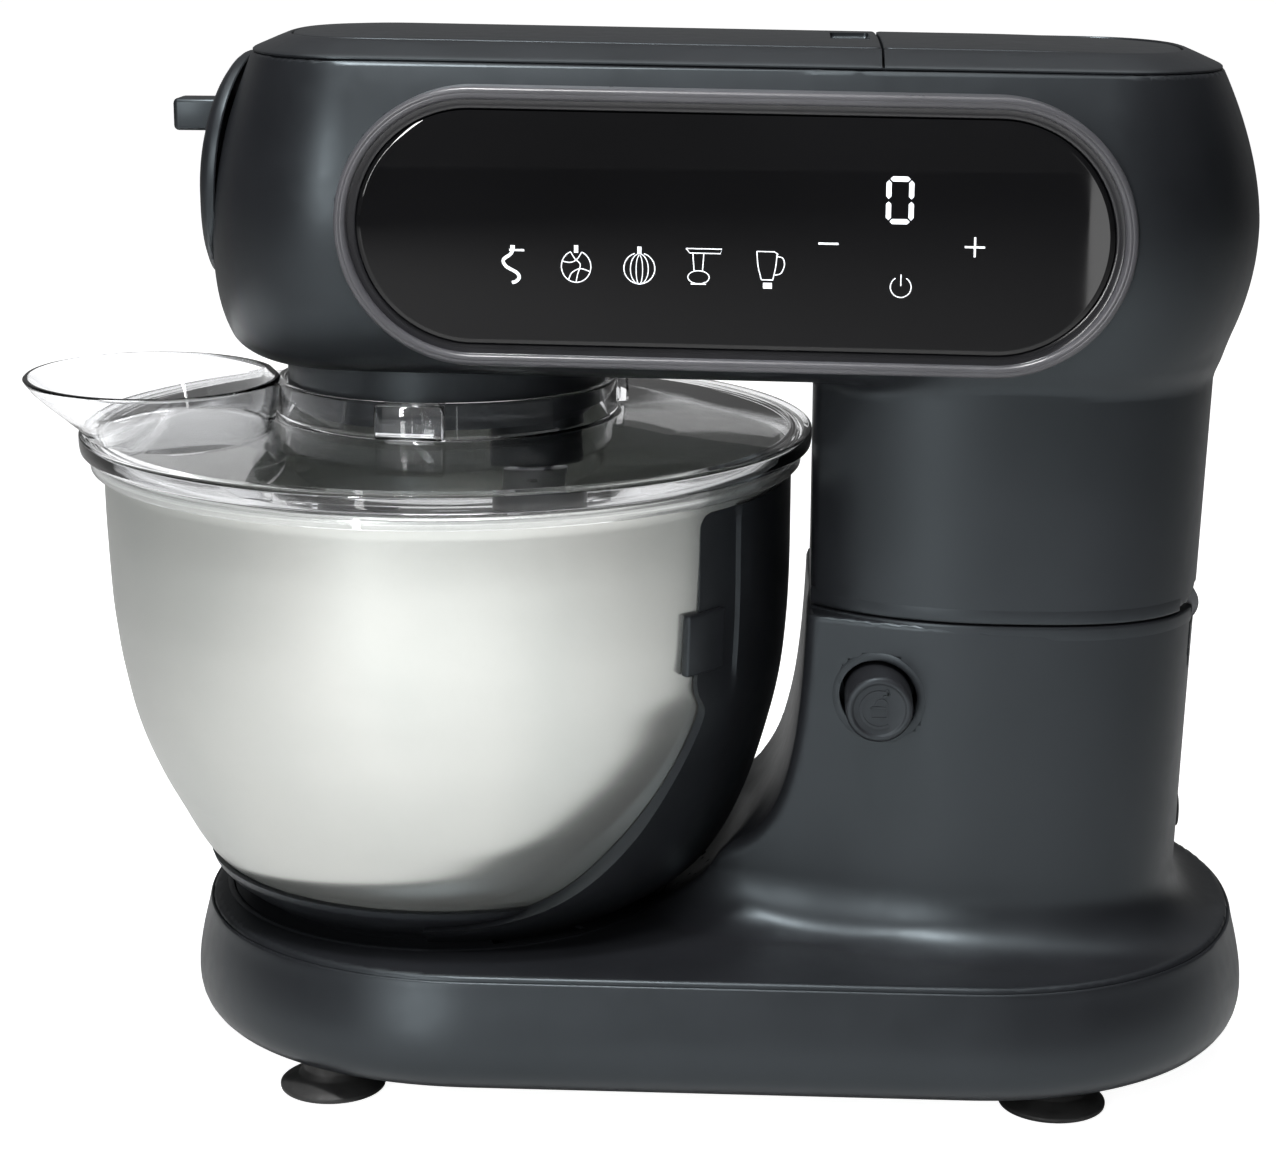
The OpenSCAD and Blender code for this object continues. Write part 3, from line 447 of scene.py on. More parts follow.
def curve_through(points, count=8):
    """A smooth line through the points."""
    p = np.asarray(points, dtype=float)
    p = np.vstack([2 * p[0] - p[1], p, 2 * p[-1] - p[-2]])
    out = []
    for i in range(1, len(p) - 2):
        for t in np.linspace(0, 1, count, endpoint=False):
            out.append(0.5 * (2 * p[i] + (p[i + 1] - p[i - 1]) * t
                              + (2 * p[i - 1] - 5 * p[i] + 4 * p[i + 1] - p[i + 2]) * t ** 2
                              + (3 * p[i] - p[i - 1] - 3 * p[i + 1] + p[i + 2]) * t ** 3))
    out.append(p[-2])
    return np.array(out)


# ---------- smooth solids from distances

def plan_distance(x, y, x0, x1, a0, a1, hw, n):
    """About the distance from an outline with straight sides and superellipse ends."""
    dx = np.where(x > x1, (x - x1) / a1, np.where(x < x0, (x0 - x) / a0, 0.0))
    ax = np.where(x > x1, a1, a0)
    dy = np.abs(y) / hw
    r = np.maximum((dx ** n + dy ** n) ** (1 / n), 1e-6)
    gx = (dx / r) ** (n - 1) / ax
    gy = (dy / r) ** (n - 1) / hw
    return (r - 1) / np.sqrt(gx * gx + gy * gy + 1e-12)


def both(a, b, r):
    """Where two solids overlap, with a rounded edge."""
    return np.minimum(-r, np.maximum(a, b)) + np.hypot(np.maximum(a + r, 0), np.maximum(b + r, 0))


def either(a, b, r):
    """Two solids together, with a fillet between them."""
    return np.maximum(r, np.minimum(a, b)) - np.hypot(np.maximum(r - a, 0), np.maximum(r - b, 0))


EDGES = [((0, 0, 0), (1, 0, 0)), ((0, 1, 0), (1, 1, 0)), ((0, 0, 1), (1, 0, 1)), ((0, 1, 1), (1, 1, 1)),
         ((0, 0, 0), (0, 1, 0)), ((1, 0, 0), (1, 1, 0)), ((0, 0, 1), (0, 1, 1)), ((1, 0, 1), (1, 1, 1)),
         ((0, 0, 0), (0, 0, 1)), ((1, 0, 0), (1, 0, 1)), ((0, 1, 0), (0, 1, 1)), ((1, 1, 0), (1, 1, 1))]


def gradient(solid, p, h=0.05):
    g = np.empty_like(p)
    for k in range(3):
        step = np.zeros(3)
        step[k] = h
        q, s = p + step, p - step
        g[:, k] = (solid(q[:, 0], q[:, 1], q[:, 2]) - solid(s[:, 0], s[:, 1], s[:, 2])) / (2 * h)
    return g


def solid_mesh(solid, low, high, step, rounds=4):
    """The surface where solid(x, y, z) is zero, as an even mesh of quads with true normals."""
    axes = [np.arange(lo - step, hi + 1.5 * step, step) for lo, hi in zip(low, high)]
    field = solid(*np.meshgrid(*axes, indexing="ij", sparse=True))
    inside = field < 0
    cells = np.zeros([n - 1 for n in field.shape], dtype=np.uint8)
    for dx in (0, 1):
        for dy in (0, 1):
            for dz in (0, 1):
                cells += inside[dx:dx + cells.shape[0], dy:dy + cells.shape[1], dz:dz + cells.shape[2]]
    at = np.argwhere((cells > 0) & (cells < 8))
    index = np.full(cells.shape, -1, dtype=np.int64)
    index[tuple(at.T)] = np.arange(len(at))
    total, count = np.zeros((len(at), 3)), np.zeros(len(at))
    for a, b in EDGES:
        pa, pb = at + a, at + b
        fa, fb = field[tuple(pa.T)], field[tuple(pb.T)]
        crossed = (fa < 0) != (fb < 0)
        t = np.where(crossed, fa / np.where(crossed, fa - fb, 1), 0)[:, None]
        total += np.where(crossed[:, None], pa + t * (pb - pa), 0)
        count += crossed
    origin = np.array([a[0] for a in axes])
    p = origin + step * total / count[:, None]
    faces = []
    for k in range(3):
        i, j = (k + 1) % 3, (k + 2) % 3
        a = np.moveaxis(inside, [k, i, j], [0, 1, 2])
        cell = np.moveaxis(index, [k, i, j], [0, 1, 2])
        edge = a[:-1, 1:-1, 1:-1] != a[1:, 1:-1, 1:-1]
        e = np.argwhere(edge)
        leaving = a[:-1, 1:-1, 1:-1][tuple(e.T)]
        u, v, w = e.T
        quad = np.stack([cell[u, v, w], cell[u, v + 1, w], cell[u, v + 1, w + 1], cell[u, v, w + 1]], 1)
        quad[~leaving] = quad[~leaving][:, ::-1]
        faces.append(quad)
    faces = np.concatenate(faces)
    ends = np.concatenate([faces[:, [0, 1]], faces[:, [1, 2]], faces[:, [2, 3]], faces[:, [3, 0]]])
    degree = np.bincount(ends.ravel(), minlength=len(p)).astype(float)

    def settle(p):
        g = gradient(solid, p)
        size = np.maximum((g * g).sum(1), 1e-6)
        move = solid(p[:, 0], p[:, 1], p[:, 2])[:, None] * g / size[:, None]
        length = np.linalg.norm(move, axis=1)
        return p - move * np.minimum(1, 0.6 * step / np.maximum(length, 1e-9))[:, None]

    for _ in range(rounds):
        mean = np.zeros_like(p)
        for k in range(3):
            mean[:, k] = (np.bincount(ends[:, 0], p[ends[:, 1], k], len(p))
                          + np.bincount(ends[:, 1], p[ends[:, 0], k], len(p)))
        mean /= degree[:, None]
        g = gradient(solid, p)
        g /= np.maximum(np.linalg.norm(g, axis=1), 1e-9)[:, None]
        pull = mean - p
        pull -= g * (pull * g).sum(1)[:, None]
        p = settle(p + 0.6 * pull)
    p = settle(settle(p))
    g = gradient(solid, p)
    g /= np.maximum(np.linalg.norm(g, axis=1), 1e-9)[:, None]
    return p, faces, g


# ---------- base and lower column

BASE_X0, BASE_X1, BASE_A0, BASE_A1, BASE_HW, BASE_N = -48, 100, 96, 90, 96, 2.15
TOP_Z = 45.0                    # the base's top face
SEAM_Z = 148.0                  # the parting line of the column
SEAM_GAP = 0.3                  # half the open gap at that line
COL_MID, COL_FRONT_A, COL_HW = 112.0, 74.0, 60.3
COL_POWER_FRONT, COL_POWER_REAR = 2.12, 2.75
FRONT_X = 51.8                  # where the column's front is squared off
SADDLE_Z, SADDLE_R, SADDLE_SQUASH = 63.5, 14.0, 0.45
PIVOT_X = 166.0                 # the hinge pin
HINGE_HW = 28
BUTTON_X, BUTTON_Z, BUTTON_HOLE_R = 73.0, 123.0, 12.6
SEAT_HOLE_R = 72.3
BOWL_ROOM = 5.6                 # clear space kept round the bowl's jacket
GLAND_Z, GLAND_HOLE_R = 72, 6.2
SKIN = 4.4                      # the wall of the moulded skins

# (height, radius) of the black jacket and of the steel bowl in it
JACKET_TABLE = np.array([[40, 58], [48, 72], [55, 83], [65, 90.2], [76, 95.6], [86, 99.4], [97.5, 102.8],
                         [112, 106.6], [123, 108.4], [140, 109.8], [155, 110.2], [200, 110.2]])
STEEL_TABLE = np.array([[50, 63], [52, 68], [55.5, 74], [61, 80], [68, 84.6], [76.5, 88.8], [84.5, 93.2],
                        [93, 97], [101, 100.1], [110, 102.7], [126, 105.8], [142, 107.7], [156, 108.4],
                        [169, 108.9], [188, 109.2]])


def smooth_table(table, spread_mm=5.0, step=0.5):
    """Heights and radii of a smooth curve near a table's points."""
    z = np.arange(table[0, 0], table[-1, 0] + step, step)
    r = np.interp(z, table[:, 0], table[:, 1])
    k = np.exp(-0.5 * (np.arange(-30, 31) * step / spread_mm) ** 2)
    padded = np.concatenate([2 * r[0] - r[30:0:-1], r, 2 * r[-1] - r[-2:-32:-1]])
    return z, np.convolve(padded, k / k.sum(), mode="valid")


JACKET_CURVE = smooth_table(JACKET_TABLE)
STEEL_CURVE = smooth_table(STEEL_TABLE, 3.0)


def jacket_r(z):
    return np.interp(z, *JACKET_CURVE)


def steel_r(z):
    return np.interp(z, *STEEL_CURVE)


def column_rear(z):
    return 171.3 + 0.0335 * (z - 88)


def column_plan(x, y, z):
    power = np.where(x < COL_MID, COL_POWER_FRONT, COL_POWER_REAR)
    return plan_distance(x, y, COL_MID, COL_MID, COL_FRONT_A, column_rear(z) - COL_MID, COL_HW, power)


def bowl_rho(x, y):
    return np.hypot(x - BOWL_X, y)


def front_profile(x, z):
    """The column's front: upright above, and running out forwards over a low saddle below."""
    w1 = np.exp(-np.clip((FRONT_X - x) / SADDLE_R, -40, 40))
    w2 = np.exp(-np.clip(SADDLE_SQUASH * (z - SADDLE_Z) / SADDLE_R, -40, 40))
    value = -SADDLE_R * np.log(w1 + w2)
    return value * (w1 + w2) / np.sqrt(w1 * w1 + (SADDLE_SQUASH * w2) ** 2)


def stand_outer(x, y, z, grown=0.0):
    """The outside of the base's top and the lower column, or the same drawn in by grown."""
    sides = either(column_plan(x, y, z), plan_distance(x, y, 50, 110, 44, 46, 44, 2.3), 18) + grown
    column = both(front_profile(x, z) + grown, sides, 3.5)
    column = both(column, z - SEAM_Z + 1.1 + grown, 1.5)
    slab = both(plan_distance(x, y, BASE_X0, BASE_X1, BASE_A0 - 0.9, BASE_A1 - 0.9, BASE_HW - 0.9, BASE_N)
                + grown, z - TOP_Z + grown, 1.4)
    body = either(slab, column, 17)
    return both(body, jacket_r(z) + BOWL_ROOM - bowl_rho(x, y) + grown, 2.5)


def hinge_opening(x, y, z, r, hw):
    return np.maximum(np.hypot(x - PIVOT_X, z - SEAM_Z) - r, np.abs(y) - hw)


def stand_solid(x, y, z):
    shell = both(stand_outer(x, y, z), -stand_outer(x, y, z, SKIN), 0.4)
    shell = np.maximum(shell, 40.5 - z)
    seat = both(bowl_rho(x, y) - SEAT_HOLE_R, 30 - z, 0.1)
    shell = both(shell, -seat, 0.7)
    button = both(np.hypot(x - BUTTON_X, z - BUTTON_Z) - BUTTON_HOLE_R, y + 20, 0.1)
    shell = both(shell, -button, 0.7)
    hook = np.maximum(np.maximum(np.abs(x - (BUTTON_X - 2.5)) - 10.5, np.abs(y) - 8), 120 - z)
    shell = np.maximum(shell, -hook)
    posts = np.maximum(np.maximum(np.abs(x - PIVOT_X + 2) - 5.3, np.abs(y) - HINGE_HW), 130 - z)
    shell = np.maximum(shell, -np.minimum(hinge_opening(x, y, z, 7.1, HINGE_HW), posts))
    gland = both(np.hypot(y, z - GLAND_Z) - GLAND_HOLE_R, 140 - x, 0.1)
    return np.maximum(shell, -gland)


STEP = 2.0
verts, faces, normals = solid_mesh(stand_solid, (-148, -100, 40), (195, 100, 149), STEP)
piece("base_top_and_column", verts, faces, "stand", "satin_black", ["base_shell"], normals=normals)

skirt = [(42.0, -2.4), (42.9, -1.2), (43.35, -0.75), (43.45, -0.35), (43.25, 0.0), (42.7, 0.25), (41, 0.65),
         (38, 1.6), (35, 2.6), (32, 3.5), (29, 4.3), (26, 4.95), (23, 5.35), (20, 5.5), (17.5, 5.3),
         (15.2, 4.7), (13.2, 3.7), (11.5, 2.3), (10.2, 0.8), (9.3, -0.8), (9.0, -2.2), (9.0, -3.1),
         (9.6, -3.3), (16, -1.0), (24, 1.4), (34, 0.0), (40, -2.4)]
loops = []
for z, out in skirt:
    along = out * (0.76 if out > 0 else 1)
    loop = outline(BASE_X0, BASE_X1, BASE_A0 + along, BASE_A1 + along, BASE_HW + out, BASE_N, 260)
    loops.append(at_height(loop, z))
make("base_skirt", rings(loops[::-1], closed=True), "stand", "satin_black", ["base_shell"], 40)

rim = [(SEAT_HOLE_R, 42), (SEAT_HOLE_R, 44.8), (72.55, 45.2), (73.1, 45.35), (73.9, 45.3), (74.7, 44.7),
       (74.7, 42)]
make("seat_recess_rim", lathe(rim, 160, (BOWL_X, 0)), "stand", "satin_black", ["base_shell"], 35)


# ---------- head and upper column

HEAD_FALL = 0.0125              # the head's lines sink by this much along it
HEAD_X0, HEAD_X1, HEAD_HW, HEAD_POWER = -85, 135, 72, 2.3
NOSE_A, REAR_A = 52.9, 52.3
PANEL_X, PANEL_Z, PANEL_HALF = 27.4, 266.8, 75.9
LEAN = np.polyfit([219, 228, 235, 241, 246, 250.7, 260, 272, 284, 298, 305, 313],
                  [-2.2, -2.8, -2.7, -2.0, -0.5, 0.6, 1.7, 2.5, 2.9, 3.1, 3.0, 2.2], 5)
WIDEST_Z, EDGE_Z, BELLY_Z = 266, 313.3, 220.3
EDGE_INSET, BELLY_INSET = 12.9, 11.3
EDGE_POWER, BELLY_POWER = 1.8, 2.04
EDGE_RISE, BELLY_DROP = 47.3, 42
FRONT_DECK_X, REAR_DECK_X, COVER_SPLIT_X = -112, 165, 70
COVER_INSET = 12.6
OUTLET_Z, HUB_HOLE_R, PANEL_HOLE_R = 276, 50.8, 38.0


def local_z(x, z):
    return z + (x - PANEL_X) * HEAD_FALL


def true_z(x, zl):
    return zl - (x - PANEL_X) * HEAD_FALL


def barrel_side(x, y, zl, grown=0.0):
    """The head's upright sides: widest halfway up, and drawn in above, below and at the nose."""
    up = np.clip(zl - WIDEST_Z, 0, 60)
    down = np.clip(WIDEST_Z - zl, 0, 60)
    inset = EDGE_INSET * (up / EDGE_RISE) ** EDGE_POWER + BELLY_INSET * (down / BELLY_DROP) ** BELLY_POWER
    lean = np.polyval(LEAN, np.clip(zl, 219, 313))
    slope = (EDGE_INSET * EDGE_POWER / EDGE_RISE * (up / EDGE_RISE) ** (EDGE_POWER - 1)
             + BELLY_INSET * BELLY_POWER / BELLY_DROP * (down / BELLY_DROP) ** (BELLY_POWER - 1))
    side = plan_distance(x, y, HEAD_X0, HEAD_X1, NOSE_A - lean - inset, REAR_A - inset, HEAD_HW - inset,
                         HEAD_POWER)
    return side / np.sqrt(1 + slope * slope) + grown


def head_outer(x, y, z, grown=0.0):
    """The outside of the head and the upper column, or the same drawn in by grown."""
    zl = local_z(x, z)
    barrel = both(barrel_side(x, y, zl, grown), BELLY_Z - zl + grown, 6.5)
    barrel = both(barrel, zl - EDGE_Z + grown, 0.8)
    column = both(column_plan(x, y, z) + grown, FRONT_X - x + grown, 2.5)
    column = np.maximum(column, z - 240)
    if not grown:
        column = both(column, SEAM_Z + 1.1 - z, 1.5)
    return either(barrel, column, 5)


def slot_distance(x, z, half):
    return np.hypot(np.maximum(np.abs(x - PANEL_X) - half, 0), local_z(x, z) - PANEL_Z)


def head_solid(x, y, z):
    shell = both(head_outer(x, y, z), -head_outer(x, y, z, SKIN), 0.4)
    hub = np.maximum(bowl_rho(x, y) - HUB_HOLE_R, z - 240)
    shell = both(shell, -hub, 0.6)
    panel = np.maximum(slot_distance(x, z, PANEL_HALF) - PANEL_HOLE_R, y + 40)
    shell = np.maximum(shell, -panel)
    outlet = np.maximum(np.hypot(y, z - OUTLET_Z) - 24.0, x + 100)
    shell = np.maximum(shell, -outlet)
    decks = np.minimum(np.abs(x + 17.5) - 81.5, np.abs(x - 113.5) - 39.5)
    shell = np.maximum(shell, -np.maximum(np.maximum(decks, np.abs(y) - 42), 300 - z))
    shell = np.maximum(shell, -hinge_opening(x, y, z, 6.9, HINGE_HW - 0.3))
    # Room behind the pin for the tilt
    relief = np.maximum(PIVOT_X - 1 - x, (z - SEAM_Z) - (x - PIVOT_X + 1) * 0.70)
    shell = both(shell, -relief, 0.4)
    vents = np.maximum(np.abs((z - 233.5) % 8 - 4) - 1.4, np.abs(y) - 20)
    vents = np.maximum(vents, np.maximum(150 - x, np.abs(z - 253.5) - 24))
    return np.maximum(shell, -vents)


verts, faces, normals = solid_mesh(head_solid, (-142, -74, 147), (190, 74, 317), STEP)
piece("head_housing", verts, faces, "head", "satin_black", ["head_shell"], normals=normals)


def column_loop(z, out):
    """The column's outline at a height, squared off at the front."""
    t = np.linspace(0, 2 * np.pi, 3601)[:-1] + 0.0005
    x, y = superellipse(t, (COL_MID, COL_FRONT_A + out, COL_POWER_FRONT),
                        (COL_MID, column_rear(z) - COL_MID + out, COL_POWER_REAR), COL_HW + out)
    return at_height(respaced(np.column_stack([np.maximum(x, FRONT_X - out), y]), 300), z)


def seam_trim(name, body, node_name, way, *cutters):
    """A crisp lip round the parting line: way is +1 where it runs upwards from the line."""
    section = [(-5.0, 5.6), (-0.25, 5.4), (0.02, 4.2), (0.06, 1.0), (0.02, 0.55), (-0.14, 0.2), (-0.5, 0.0),
               (-4.4, 0.0), (-5.0, 0.6)]
    loops = [column_loop(SEAM_Z + way * SEAM_GAP + way * rise, out) for out, rise in section]
    lip = piece(name, *rings(loops, closed=True), body, "satin_black", [node_name])
    hinge_room = box_cutter((158.4, -28.2, 138), (182, 28.2, 156))
    return sharpen(cut(lip, hinge_room, *cutters), 30)


def deck_outline(inside, count=240):
    lean = 2.2
    return outline(HEAD_X0, HEAD_X1, NOSE_A - lean - EDGE_INSET - inside, REAR_A - EDGE_INSET - inside,
                   HEAD_HW - EDGE_INSET - inside, HEAD_POWER, count)


frame_section = [(1.6, 312.6), (0.75, 313.15), (0.3, 313.6), (0.35, 314.0), (0.8, 314.35), (2, 314.9),
                 (5, 316.2), (8, 317.5), (10.8, 318.65), (11.5, 318.85), (11.9, 318.8), (12.15, 318.4),
                 (12.2, 316), (12.2, 314.2), (8, 313.6)]
loops = []
for inside, zl in frame_section:
    loop = deck_outline(inside)
    loops.append(np.column_stack([loop, true_z(loop[:, 0], zl)]))
deck_frame = make("deck_frame", rings(loops, closed=True), "head", "satin_black", ["head_shell"], 30)
for low_y, high_y in ((-70, -40), (40, 70)):
    cut(deck_frame, box_cutter((COVER_SPLIT_X - 0.4, low_y, 313.2), (COVER_SPLIT_X + 0.4, high_y, 330)))

seam_trim("column_seam_lower", "stand", "base_shell", -1)
seam_trim("column_seam_upper", "head", "head_shell", 1, box_cutter((165, -80, 138), (190, 80, 156)))


def stand_front(x, z):
    """How far out the stand's near side is at (x, z)."""
    low, high = np.full(len(x), -75.0), np.full(len(x), -35.0)
    for _ in range(40):
        mid = (low + high) / 2
        inside = stand_outer(x, mid, z) < 0
        high = np.where(inside, mid, high)
        low = np.where(inside, low, mid)
    return high


turn = np.linspace(0, 2 * np.pi, 97)[:-1]
loops = []
for radius, proud, flat in ((11.7, 0, -44), (11.7, -0.4, None), (11.78, -0.1, None), (11.95, 0.02, None),
                            (12.4, 0.05, None), (13.9, 0.04, None), (14.3, -0.1, None), (14.3, 0, -48)):
    x, z = BUTTON_X + radius * np.cos(turn), BUTTON_Z + radius * np.sin(turn)
    loops.append(np.column_stack([x, np.full(len(x), flat) if flat else stand_front(x, z) - proud, z]))
make("release_button_surround", rings(loops, closed=True), "stand", "satin_black", ["base_shell"], 30)


def cover(name, x_low, x_high, body, node_name):
    """A thin lid with a soft edge and a slight crown, cut to the deck's outline."""
    loop = deck_outline(COVER_INSET, 900)
    hw = HEAD_HW - EDGE_INSET - COVER_INSET
    corner = 2.0
    # Two square corners at the split between the covers, then round the deck's own end
    at_nose = x_low == FRONT_DECK_X
    split, way = (x_high, 1) if at_nose else (x_low, -1)
    turn = np.linspace(0, math.pi / 2, 8)[::-way]
    far = np.column_stack([split + way * corner * (np.sin(turn) - 1), hw + corner * (np.cos(turn) - 1)])
    near = np.column_stack([far[::-1, 0], -far[::-1, 1]])
    keep = loop[(loop[:, 0] > x_low) & (loop[:, 0] < x_high)]
    keep = keep[way * keep[:, 0] < way * split - corner - 0.5]
    if at_nose:
        path = [near, far, keep[np.argsort(-np.arctan2(keep[:, 1], -(keep[:, 0] + 20)))]]
    else:
        path = [far, near, keep[np.argsort(np.arctan2(keep[:, 1], keep[:, 0] - 110))]]
    path = respaced(np.vstack(path), 260)
    mid = np.array([(x_low + x_high) / 2, 0.0])
    side = side_of(np.roll(path, 1, 0), np.roll(path, -1, 0))
    if np.sum((mid - path) * side) < 0:
        side = -side

    def crown(p):
        x, y = p[:, 0], p[:, 1]
        rise = 0.95 * (1 - (y / hw) ** 2)
        back = np.clip((x - 100) / 62, 0, 1) ** 2 * 1.6
        front = np.clip((-80 - x) / 33, 0, 1) ** 2 * 1.3
        return 319.12 + rise - back - front

    def loop_at(p, drop=0.0):
        return np.column_stack([p, true_z(p[:, 0], crown(p) - drop)])

    edge = ((1.2, 3.2), (0.0, 3.2), (0.0, 0.9), (0.12, 0.45), (0.4, 0.13), (0.9, 0.0))
    loops = [loop_at(path + side * amount, drop) for amount, drop in edge]
    rim = path + side * 0.9
    spine = np.column_stack([np.clip(rim[:, 0], x_low + hw * 0.9, x_high - hw * 0.9), np.zeros(len(rim))])
    loops += [loop_at(rim + (spine - rim) * part) for part in np.linspace(0, 1, 26)[1:-1]]
    return make(name, rings(loops, cap_first=True, cap_last=True), body, "satin_black", [node_name], 35)


front_cover = cover("front_deck_cover", FRONT_DECK_X, COVER_SPLIT_X - 0.3, "head", "top_cover")
cover("rear_deck_cover", COVER_SPLIT_X + 0.3, REAR_DECK_X, "top_cap", "blender_cover")
cut(front_cover, box_cutter((55, -18, 317.6), (67, 18, 330), 1.2))     # the finger recess


# ---------- touch panel

def panel_point(across, up, y):
    """From the panel's own axes to the frame: along the panel, up it, and y as it is."""
    return np.column_stack([PANEL_X + across, np.full(len(across), y), PANEL_Z + up - across * HEAD_FALL])


GLASS_Y = -72.35                # the glass's face
PRINT_Y = GLASS_Y - 0.05
ridge = [(0.0, -57.0), (0.0, -71.9), (0.12, -72.6), (0.5, -73.15), (1.1, -73.42), (1.5, -73.47),
         (1.75, -73.3), (2.0, -73.47), (2.5, -73.42), (3.1, -73.1), (3.5, -72.5), (3.7, -71.9), (3.7, -57.0)]
channel = [(3.7, -57.0), (3.7, -71.7), (4.1, -71.5), (5.2, -71.4), (6.1, -71.4), (6.4, -71.1), (6.45, -66.0),
           (5.4, -57.0)]
# The ridge ring takes the lighter material, a painted highlight; the channel stays gloss black.
for name, section, material in (("panel_ridge_ring", ridge, RIDGE_PAINTED_HIGHLIGHT), ("panel_channel_ring", channel, None)):
    loops = []
    for inside, y in section:
        path = stadium(40.5 - inside, PANEL_HALF)
        loops.append(panel_point(path[:, 0], path[:, 1], y))
    make(name, rings(loops, closed=True), "head", "gloss_black", ["panel_bezel"], 50, material)

loops = []
for inside, y in [(1.0, -68.0), (0.0, -68.3), (0.0, -71.7), (0.06, -71.98), (0.25, -72.1), (1.1, -72.33),
                  (1.3, GLASS_Y), (1.6, GLASS_Y), (3.0, GLASS_Y)]:
    path = stadium(33.85 - inside, PANEL_HALF)
    loops.append(panel_point(path[:, 0], path[:, 1], y))
make("panel_glass_plate", rings(loops, cap_first=True, cap_last=True), "head", "panel_glass",
     ["panel_glass"], 12)

LINE = 0.31                     # the width of the pictograms' lines
icons = {
    "dough_hook": (-64.0, -10.1, [
        ([(0, 5.3), (0, 3.9)], 1.3), ([(-1.0, 3.9), (3.4, 3.9)], 0.6),
        (curve_through([(0.1, 3.9), (-0.7, 2.6), (-2.7, 1.0), (-1.9, -0.9), (1.1, -2.6), (1.9, -4.0),
                        (1.0, -5.2), (-0.2, -5.6)]), 0.95)]),
    "flat_beater": (-45.5, -10.0, [
        ([(0, 5.6), (0, 3.4)], 1.2), (arc(0, -0.6, 4.3, 4.6, 112, 428, 40), LINE),
        (curve_through([(-1.6, 3.6), (-0.3, 1.6), (1.2, 0.0), (0.4, -3.0), (0, -5.1)]), LINE),
        (curve_through([(1.6, 3.6), (0.3, 1.6), (-1.6, 0.6), (-4.1, 0.9)]), LINE),
        (curve_through([(-2.2, -4.4), (-1.2, -2.4), (1.2, -1.2), (3.9, -1.9)]), LINE)]),
    "whisk": (-27.1, -10.0, [
        ([(0, 5.6), (0, 3.4)], 1.2), (arc(0, -0.7, 4.5, 4.5, 107, 433, 40), LINE),
        (arc(0, -0.9, 2.6, 4.4, 104, 436, 40), LINE * 0.9),
        (arc(0, -1.1, 0.95, 4.2, 98, 442, 36), LINE * 0.8)]),
    "grinder": (-8.6, -9.6, [
        ([(-5.0, 5.0), (5.4, 5.0), (5.0, 3.7), (-3.9, 3.7), (-5.0, 5.0)], LINE),
        ([(-3.0, 3.7), (-2.6, -1.6)], LINE), ([(0.2, 3.7), (-0.2, -1.6)], LINE),
        (arc(-1.3, -3.3, 3.1, 1.9, 0, 360, 32), LINE), ([(-3.6, -5.3), (0.9, -5.3)], LINE)]),
    "jug": (10.2, -10.2, [
        ([(-3.3, 5.2), (1.8, 5.2), (2.9, 4.4)], LINE),
        (curve_through([(-3.3, 5.2), (-2.9, 1.0), (-1.9, -3.0)]), LINE),
        (curve_through([(2.6, 4.6), (2.2, 0.8), (1.4, -3.0)]), LINE),
        (curve_through([(2.5, 3.9), (4.3, 3.3), (4.7, 1.2), (3.7, -1.0), (2.0, -1.6)]), LINE),
        ([(-1.9, -3.0), (1.5, -3.0)], LINE), ([(-1.4, -4.7), (1.2, -4.7)], 1.7)]),
    "minus": (27.5, -2.3, [([(-2.9, 0), (2.9, 0)], 0.6)]),
    "plus": (69.6, -2.4, [([(-2.9, 0), (2.9, 0)], 0.6), ([(0, -2.9), (0, 2.9)], 0.6)]),
    "power": (48.6, -14.2, [(arc(0, -0.2, 3.0, 3.0, 122, 418, 36), LINE), ([(0, 3.5), (0, 0.1)], LINE)]),
}
parts = []
for across, up, strokes in icons.values():
    for points, width in strokes:
        v, f = ribbon(points, width)
        parts.append((panel_point(v[:, 0] + across, v[:, 1] + up, PRINT_Y), f))
# The zero, of six bars
DIGIT_X, DIGIT_UP, DIGIT_W, DIGIT_H, BAR, BAR_GAP = 47.8, 10.6, 3.25, 3.05, 1.5, 0.35
for cx, cy, flat in [(0, 2, 1), (0, -2, 1), (-1, 1, 0), (1, 1, 0), (-1, -1, 0), (1, -1, 0)]:
    end = (DIGIT_W if flat else DIGIT_H) - BAR_GAP
    p = np.array([(-end, 0), (-end + BAR / 2, BAR / 2), (end - BAR / 2, BAR / 2), (end, 0),
                  (end - BAR / 2, -BAR / 2), (-end + BAR / 2, -BAR / 2)])
    if not flat:
        p = p[:, ::-1]
    across, up = p[:, 0] + cx * DIGIT_W + DIGIT_X, p[:, 1] + cy * DIGIT_H + DIGIT_UP
    parts.append((panel_point(across, up, PRINT_Y), [[0, 1, 2, 3, 4, 5]]))
verts, faces = merged(*parts)
piece("panel_icons", verts, faces, "head", "panel_glass", material=PRINT, smooth=False)


# ---------- nose cap and button

CAP_SIDE = np.polyfit([243, 252, 262, 273, 289, 300, 309, 314],
                      [-136.6, -138.5, -139.5, -139.4, -138.0, -134.4, -131.3, -127.1], 3)
CAP_Z = 278.5
loops = []
for r, inward in ((0.4, 0.0), (12, 0.0), (24, 0.0), (32, 0.05), (34, 0.4), (35, 1.1), (35.5, 2.0),
                  (35.5, 3.8), (35.2, 4.3), (34.4, 4.5), (24, 4.5), (12, 4.5), (0.4, 4.5)):
    turn = np.linspace(0, 2 * np.pi, 145)[:-1]
    y, z = r * np.cos(turn), CAP_Z + r * np.sin(turn)
    bend = 47.9 * (1 - (1 - np.minimum(np.abs(y) / 71, 0.9) ** HEAD_POWER) ** (1 / HEAD_POWER))
    loops.append(np.column_stack([np.polyval(CAP_SIDE, z) + bend + inward, y, z]))
make("outlet_cap_cover", rings(loops, cap_first=True, cap_last=True), "front_cap", "satin_black",
     ["outlet_cap"], 35)
block("outlet_cap_tab", (-149.3, -7, 289.4), (-133.2, 7, 299.4), 1.6, "front_cap", "satin_black",
      ["outlet_cap"])

